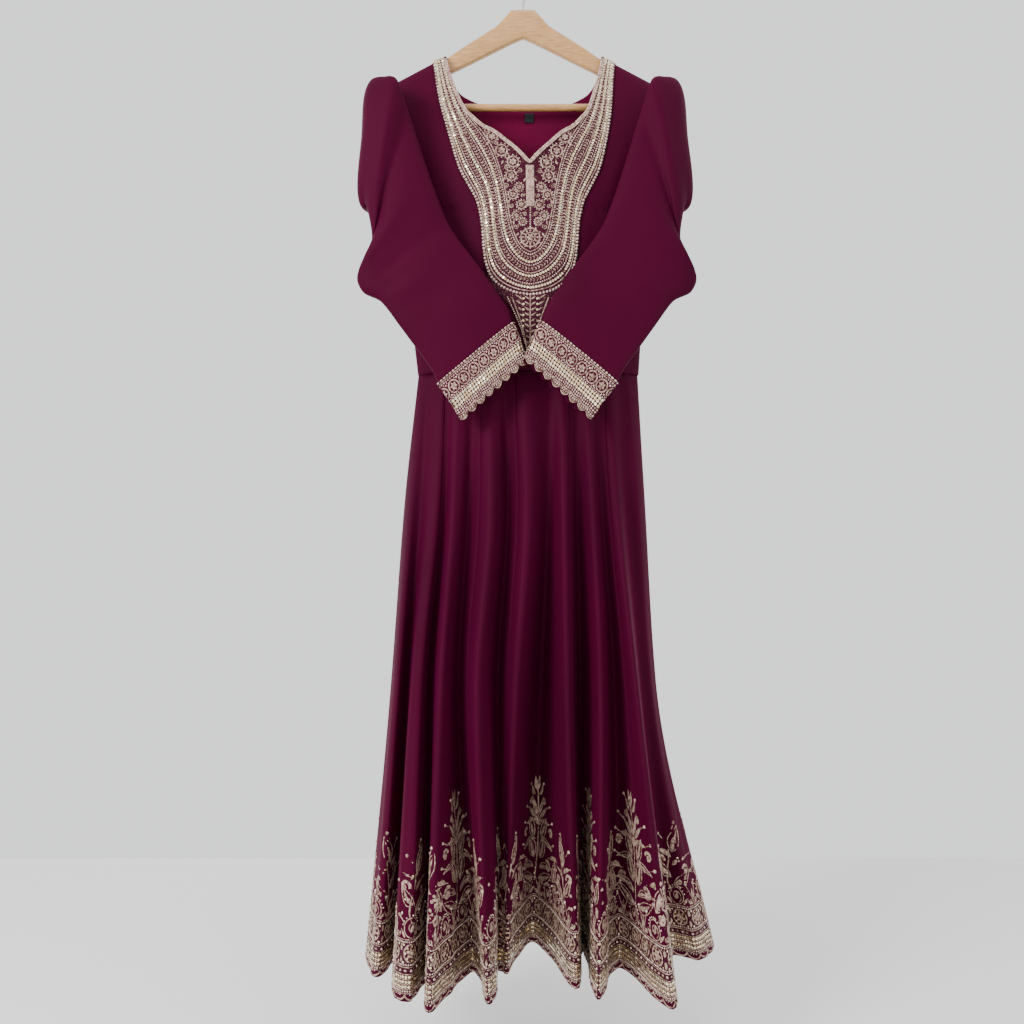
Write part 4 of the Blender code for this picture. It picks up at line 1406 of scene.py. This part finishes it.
def skirt_grid():
    """Points of the whole skirt before it is parted into kalis, from the waist to the hem."""
    heights = np.linspace(HEIGHTS[0], HEIGHTS[-1], SKIRT_ROWS) * MM
    folds = fold_paths(heights)
    before, after = np.roll(folds, 1, axis=1), np.roll(folds, -1, axis=1)
    later = np.roll(folds, -2, axis=1)
    span = np.linalg.norm(after - folds, axis=-1, keepdims=True)
    start, end = (after - before) / 2, (later - folds) / 2
    start = start * np.minimum(1, span / np.linalg.norm(start, axis=-1, keepdims=True))
    end = end * np.minimum(1, span / np.linalg.norm(end, axis=-1, keepdims=True))
    t = (np.arange(SKIRT_STEPS) / SKIRT_STEPS)[None, None, :, None]
    plan = (2 * t**3 - 3 * t**2 + 1) * folds[:, :, None] + (t**3 - 2 * t**2 + t) * start[:, :, None]
    plan = plan + (-2 * t**3 + 3 * t**2) * after[:, :, None] + (t**3 - t**2) * end[:, :, None]
    plan = plan.reshape(SKIRT_ROWS, -1, 2)
    tall = np.repeat(heights[:, None, None], plan.shape[1], axis=1)
    points = np.concatenate([plan, tall], -1)
    turn = np.linspace(0, 2 * math.pi, plan.shape[1], endpoint=False)[None, :]
    up = ((heights - heights[-1]) / MM)[:, None]
    lift = np.zeros(plan.shape[:2])
    for reach, count, stand, phase in RIPPLES:
        drift = phase + up / 420 * np.sin(3 * turn + phase)
        fade = np.clip(1 - up / reach, 0, 1) ** 1.2
        lift += stand * MM * fade * np.sin(count * turn + drift) * (0.6 + 0.4 * np.sin(7 * turn + phase))
    for name, fold, top_width, hem_width in KALIS:
        aside = np.abs(np.arange(plan.shape[1]) - seam_column(fold))
        aside = np.minimum(aside, plan.shape[1] - aside)
        lift -= 0.7 * MM * np.exp(-((aside / 1.1) ** 2))[None, :]
    return points + grid_normals(points) * lift[..., None]


def seam_column(fold):
    """The column of the seam that runs down a fold's flank."""
    return [row[0] for row in FOLDS].index(fold) * SKIRT_STEPS + SKIRT_STEPS // 2


skirt_points = skirt_grid()
skirt_normals = grid_normals(skirt_points)
skirt_columns = skirt_points.shape[1]
closed = np.concatenate([skirt_points, skirt_points[:, :1]], axis=1)
skirt_lengths = np.cumsum(np.linalg.norm(np.diff(closed, axis=1), axis=-1), axis=1)
skirt_lengths = np.concatenate([np.zeros((SKIRT_ROWS, 1)), skirt_lengths], axis=1)
row_drop = float(np.linalg.norm(np.diff(skirt_points[-20:], axis=0), axis=-1).mean())
for index, (name, fold, top_width, hem_width) in enumerate(KALIS):
    first = seam_column(fold)
    last = seam_column(KALIS[(index + 1) % len(KALIS)][1])
    columns = np.arange(first, last + 1 if last > first else last + skirt_columns + 1) % skirt_columns
    points = skirt_points[:, columns].copy()
    for edge, inner in ((0, 1), (-1, -2)):
        way = points[:, inner] - points[:, edge]
        points[:, edge] += way / np.linalg.norm(way, axis=1, keepdims=True) * SEAM_GAP / 2
    along = np.cumsum(np.linalg.norm(np.diff(points, axis=1), axis=-1), axis=1)
    along = np.concatenate([np.zeros((SKIRT_ROWS, 1)), along], axis=1)
    spread = np.stack([along - along[:, -1:] / 2, points[..., 2]], -1)
    kali = cloth(f"kali_{name}", points, spread, CLOTH, 0)
    dress(kali, wine_georgette, "wine_georgette", f"skirt_kali_{name}")
    kali.data.materials.append(worked_net)
    for face in kali.data.polygons:
        up = face.center.z - HEIGHTS[-1] * MM
        face.material_index = int(WORKED_FROM < up < WORKED_TO)

# Hem border
# Worked all round the hem before the skirt was joined: scallops, bands of netting in cord and
# sequins, a row of ringed flowers, round buds standing on it, and forked sprigs between them.

# Bands: distance from the hem's edge, in mm, and what is worked there.
HEM_BANDS = (
    (10.2, "cord"),
    (12.8, "beads"),
    (15.4, "cord"),
    (18.6, "sequins"),
    (21.6, "cord"),
    (24.8, "sequins"),
    (27.8, "cord"),
    (31.0, "sequins"),
    (34.0, "cord"),
    (43.0, "cord"),
    (46.0, "beads"),
    (75.0, "beads"),
    (78.0, "cord"),
)
# How many scallops and flowers go round, then heights and radii of flowers and buds, in mm.
HEM_SCALLOPS = 118
HEM_FLOWERS = 78
FLOWER_HEIGHT = 60.5
FLOWER_RADIUS = 11.5
BUD_HEIGHT = 93
BUD_RADIUS = 13
hem_length = float(skirt_lengths[-1, -1])


def on_hem(across, up, lift):
    """Lays the border along the hem: across is measured round the hem, up from its edge."""
    column = np.interp(across % hem_length, skirt_lengths[-1], np.arange(skirt_columns + 1))
    row = SKIRT_ROWS - 1 - up / row_drop
    return grid_lay(skirt_points, skirt_normals, column, row, CLOTH / 2 + lift)


def bud(thread, beads, x, y, radius):
    """A round bud: a curl inside a ring, with beads along its upper side."""
    thread.ring(x, y, radius, 1.8 * MM, sides=18)
    scroll(thread, x, y - 0.5 * MM, radius * 0.72, -1.2, 1.3, 1.7 * MM)
    thread.leaf(x - radius * 0.2, y - radius * 0.5, 1.2, radius * 1.1, radius * 0.42)
    for turn in np.linspace(0.25, math.pi - 0.25, 9):
        beads.dome(*away(x, y, radius * 1.22, turn), 1.2 * MM, 1.2 * MM)


def forked_sprig(thread, beads, x, y, tall):
    """Two stalks from one stem, each ending in a round knot."""
    for hand in (-1, 1):
        line = [(x, y), (x + hand * 0.16 * tall, y + 0.45 * tall), (x + hand * 0.42 * tall, y + 0.95 * tall)]
        thread.cord(line, 1.4 * MM)
        beads.dome(x + hand * 0.44 * tall, y + tall, 2.0 * MM, 1.8 * MM, sides=8)
    thread.leaf(x, y + 0.2 * tall, math.pi / 2, 0.55 * tall, 0.22 * tall)


hem_thread, hem_beads, hem_sequins = Stitches(), Stitches(), Stitches()
for up, kind in HEM_BANDS:
    worked_row(hem_thread, hem_beads, hem_sequins, [(0, up * MM), (hem_length, up * MM)], kind)
pitch = hem_length / HEM_SCALLOPS
for step in range(HEM_SCALLOPS):
    arc = np.linspace(0, math.pi, 11)
    xs = (step + 0.5) * pitch - 0.5 * pitch * np.cos(arc)
    hem_thread.cord(np.stack([xs, (8.6 - 6.9 * np.sin(arc)) * MM], 1), 2.4 * MM, 1.0 * MM)
    for place in (0.32, 0.5, 0.68):
        hem_beads.dome((step + place) * pitch, 8.4 * MM, 1.0 * MM, 1.0 * MM, sides=5)
pitch = hem_length / HEM_FLOWERS
for step in range(HEM_FLOWERS):
    x = (step + 0.5) * pitch
    for share in (0.0, 0.5):
        hem_beads.dome(x + share * pitch, 38.6 * MM, 2.0 * MM, 1.7 * MM)
    for share in (0.25, 0.75):
        hem_thread.leaf(x + share * pitch - 2.5 * MM, 38.6 * MM, 0, 5 * MM, 3.2 * MM)
    hem_thread.ring(x, FLOWER_HEIGHT * MM, FLOWER_RADIUS * MM, 2.4 * MM, sides=18)
    hem_thread.flower(x, FLOWER_HEIGHT * MM, FLOWER_RADIUS * 0.74 * MM, 6, step)
    for turn in np.arange(8) * math.pi / 4:
        place = away(x, FLOWER_HEIGHT * MM, FLOWER_RADIUS * 0.8 * MM, turn)
        hem_sequins.sequin(*place, 1.5 * MM, 0.2, turn)
    between = x + pitch / 2
    for way in (-1, 1):
        middle_height = (FLOWER_HEIGHT + way * 3.0) * MM
        hem_thread.leaf(between, middle_height, way * math.pi / 2, 10 * MM, 5 * MM)
        hem_sequins.sequin(between - 4.6 * MM, middle_height + way * 8.2 * MM, 1.7 * MM, 0.25, step)
        hem_sequins.sequin(between + 4.6 * MM, middle_height + way * 8.2 * MM, 1.7 * MM, 0.25, step + 2)
    if step % 2:
        bud(hem_thread, hem_beads, x, BUD_HEIGHT * MM, BUD_RADIUS * MM)
        for hand in (-1, 1):
            slant = math.pi / 2 - hand * 0.5
            hem_thread.leaf(x + hand * 11 * MM, 80 * MM, slant, 14 * MM, 5 * MM, curl=-0.2 * hand)
    else:
        forked_sprig(hem_thread, hem_beads, x, 79 * MM, 32 * MM)
        for hand in (-1, 1):
            start = 0.6 if hand > 0 else 2.5
            scroll(hem_thread, x + hand * 8.5 * MM, 85 * MM, 4.6 * MM, start, -hand * 1.2, 1.7 * MM)
            hem_thread.leaf(x + hand * 3 * MM, 80 * MM, math.pi / 2 - hand * 1.0, 11 * MM, 4 * MM)
hem_thread.piece("hem_thread", on_hem, antique_thread, "gold_embroidery")
hem_beads.piece("hem_beads", on_hem, pearl_bead, "gold_embroidery")
hem_sequins.piece("hem_sequins", on_hem, sequin_gold_painted_glint, "gold_embroidery")

# Hem sprays
# Tall sprays stand on the border on large folds and smaller sprigs between them, all of leaves,
# curls and knots, worked in the same gold thread on the kalis before they were joined.

# The fold each stands on, how far on towards the next one, which it is and to which hand.
SPRAYS = (
    ("crest_a", 0.2, "sprig", 1),
    ("crest_b_left", 0.95, "sprig", -1),
    ("crest_c", -0.3, "sprig", -1),
    ("face_c", 0.35, "tall", 1),
    ("crest_d", -0.35, "sprig", 1),
    ("valley_d", 0.1, "sprig", 1),
    ("crest_e", -0.05, "sprig", -1),
    ("valley_e", -0.05, "tall", -1),
    ("crest_f", -0.3, "sprig", 1),
    ("crest_f", 0.35, "sprig", 1),
    ("valley_f", 0.45, "tall", 1),
    ("crest_g", 0.55, "sprig", -1),
    ("valley_g", 0.4, "tall", -1),
    ("crest_h", 0.25, "sprig", 1),
    ("valley_h", 0.5, "sprig", -1),
    ("side_right", 0.3, "sprig", 1),
    ("back_3", 0.0, "tall", 1),
    ("back_5", 0.0, "sprig", -1),
    ("back_7", 0.0, "tall", -1),
    ("back_9", 0.0, "sprig", 1),
    ("back_11", 0.0, "tall", 1),
    ("back_13", 0.0, "sprig", -1),
    ("back_15", 0.3, "tall", -1),
)
# A sprig: leaves as across, up, angle in degrees, length and width in mm, and curl.
SPRIG_LEAVES = (
    (1, 110, 165, 36, 16, -0.3),
    (4, 120, 36, 32, 14, 0.3),
    (1, 138, 128, 32, 9, 0.75),
    (-1, 158, 102, 40, 18, 0.15),
    (1, 150, 50, 26, 9, -0.4),
)
# Curls: across, up and radius in mm, where the curl starts, its turns, and its width in mm.
SPRIG_CURLS = ((20, 146, 9, 3.4, -0.7, 5.0), (-23, 131, 8, 0.4, 0.7, 5.0))
# Knots and the stem's line: across and up, in mm.
SPRIG_KNOTS = ((-10, 202), (19, 186), (-40, 126), (36, 150), (-38, 108), (24, 108))
SPRIG_STEM = ((3, 98), (7, 112), (5, 128), (0, 146), (-2, 162))
# A tall spray: one half, mirrored, then its middle line.
TALL_LEAVES = (
    (6, 106, 8, 46, 17, 0.25),
    (56, 117, 68, 34, 16, 0.15),
    (7, 122, 44, 42, 10, -0.6),
    (7, 138, 66, 38, 18, 0.1),
    (42, 148, 36, 30, 9, -0.5),
    (6, 166, 24, 38, 10, -0.55),
    (8, 172, 56, 36, 16, 0.15),
    (5, 196, 20, 32, 8, -0.3),
    (4, 200, 44, 34, 9, 0.0),
    (2, 204, 68, 36, 9, 0.0),
    (4, 236, 34, 20, 8, 0.4),
    (1, 242, 76, 24, 8, 0.1),
)
TALL_CURLS = (
    (36, 133, 10, 2.4, -0.8, 6.0),
    (68, 108, 7, 2.2, -0.9, 5.0),
    (42, 186, 8, 2.9, -0.75, 5.4),
    (18, 228, 6, 3.2, -0.9, 4.4),
)
TALL_KNOTS = ((72, 142), (64, 156), (78, 124), (54, 172), (48, 204), (38, 226), (18, 256))
TALL_STEM = range(100, 251, 10)

# The sprays are drawn this far apart, in metres, and each is then laid about its own column.
SPRAY_PITCH = 1.0

fold_names = [row[0] for row in FOLDS]
spray_columns = []
for fold, along, kind, hand in SPRAYS:
    spray_columns.append((fold_names.index(fold) + along) * SKIRT_STEPS)
spray_columns = np.array(spray_columns) % skirt_columns


def on_sprays(across, up, lift):
    """Lays each spray about its own column, with true widths at every height."""
    index = np.round(across / SPRAY_PITCH).astype(int)
    aside = across - index * SPRAY_PITCH
    row = SKIRT_ROWS - 1 - up / row_drop
    column = np.zeros(len(across))
    for level in np.unique(row.astype(int)):
        for upper in (0, 1):
            here = row.astype(int) == level
            lengths = skirt_lengths[level + upper]
            centre = np.interp(spray_columns[index[here]], np.arange(skirt_columns + 1), lengths)
            turns, part = np.divmod(centre + aside[here], lengths[-1])
            place = turns * skirt_columns + np.interp(part, lengths, np.arange(skirt_columns + 1))
            column[here] += place * (1 - abs(row[here] - level - upper))
    return grid_lay(skirt_points, skirt_normals, column, row, CLOTH / 2 + lift)


spray_thread, spray_sequins = Stitches(), Stitches()


def sway(up):
    """How far a spray leans to one side, as its stem was drawn."""
    return 6 * MM * math.sin((up - 100) / 52)


def work_spray(centre, hands, leaves, curls, knots):
    """Works the leaves, curls and knots of a spray, to one hand or to both."""
    for hand in hands:
        for x, y, degrees, length, width, curl in leaves:
            angle = math.radians(degrees if hand > 0 else 180 - degrees)
            place = (centre + hand * x * MM + sway(y + length / 2), y * MM)
            stitch = spray_thread.open_leaf if width > 9 else spray_thread.leaf
            stitch(*place, angle, length * MM, width * MM, curl=curl * hand)
            spray_sequins.sequin(*away(*place, length * MM * 0.5, angle), 1.3 * MM, 0.2, angle)
        for x, y, radius, start, turns, width in curls:
            turned = start if hand > 0 else math.pi - start
            place = (centre + hand * x * MM + sway(y), y * MM)
            scroll(spray_thread, *place, radius * MM, turned, hand * turns, width * MM)
        for x, y in knots:
            place = (centre + hand * x * MM + sway(y), y * MM)
            spray_thread.dome(*place, 2.6 * MM, 1.8 * MM, sides=8)
            line = [place, (centre + hand * x * 0.55 * MM + sway(y - 9), (y - 9) * MM)]
            spray_thread.cord(line, 1.7 * MM)


for index, (fold, along, kind, hand) in enumerate(SPRAYS):
    centre = index * SPRAY_PITCH
    if kind == "sprig":
        work_spray(centre, (hand,), SPRIG_LEAVES, SPRIG_CURLS, SPRIG_KNOTS)
        stem = np.array(SPRIG_STEM) * (hand * MM, MM) + (centre, 0)
    else:
        work_spray(centre, (-1, 1), TALL_LEAVES, TALL_CURLS, TALL_KNOTS)
        stem = np.array([(centre + sway(up), up * MM) for up in TALL_STEM])
        spray_thread.dome(centre + sway(254), 254 * MM, 2.8 * MM, 1.9 * MM, sides=8)
        for up in range(112, 186, 8):
            spray_sequins.sequin(centre + sway(up), up * MM, 1.7 * MM, 0.2, up)
        for turn in np.linspace(0.7, 2.44, 8):
            spray_thread.leaf(centre + sway(188), 188 * MM, turn, 16 * MM, 3.0 * MM)
    spray_thread.cord(stem, 2.4 * MM)
spray_thread.piece("spray_thread", on_sprays, antique_thread, "gold_embroidery")
spray_sequins.piece("spray_sequins", on_sprays, sequin_gold_painted_glint, "gold_embroidery")
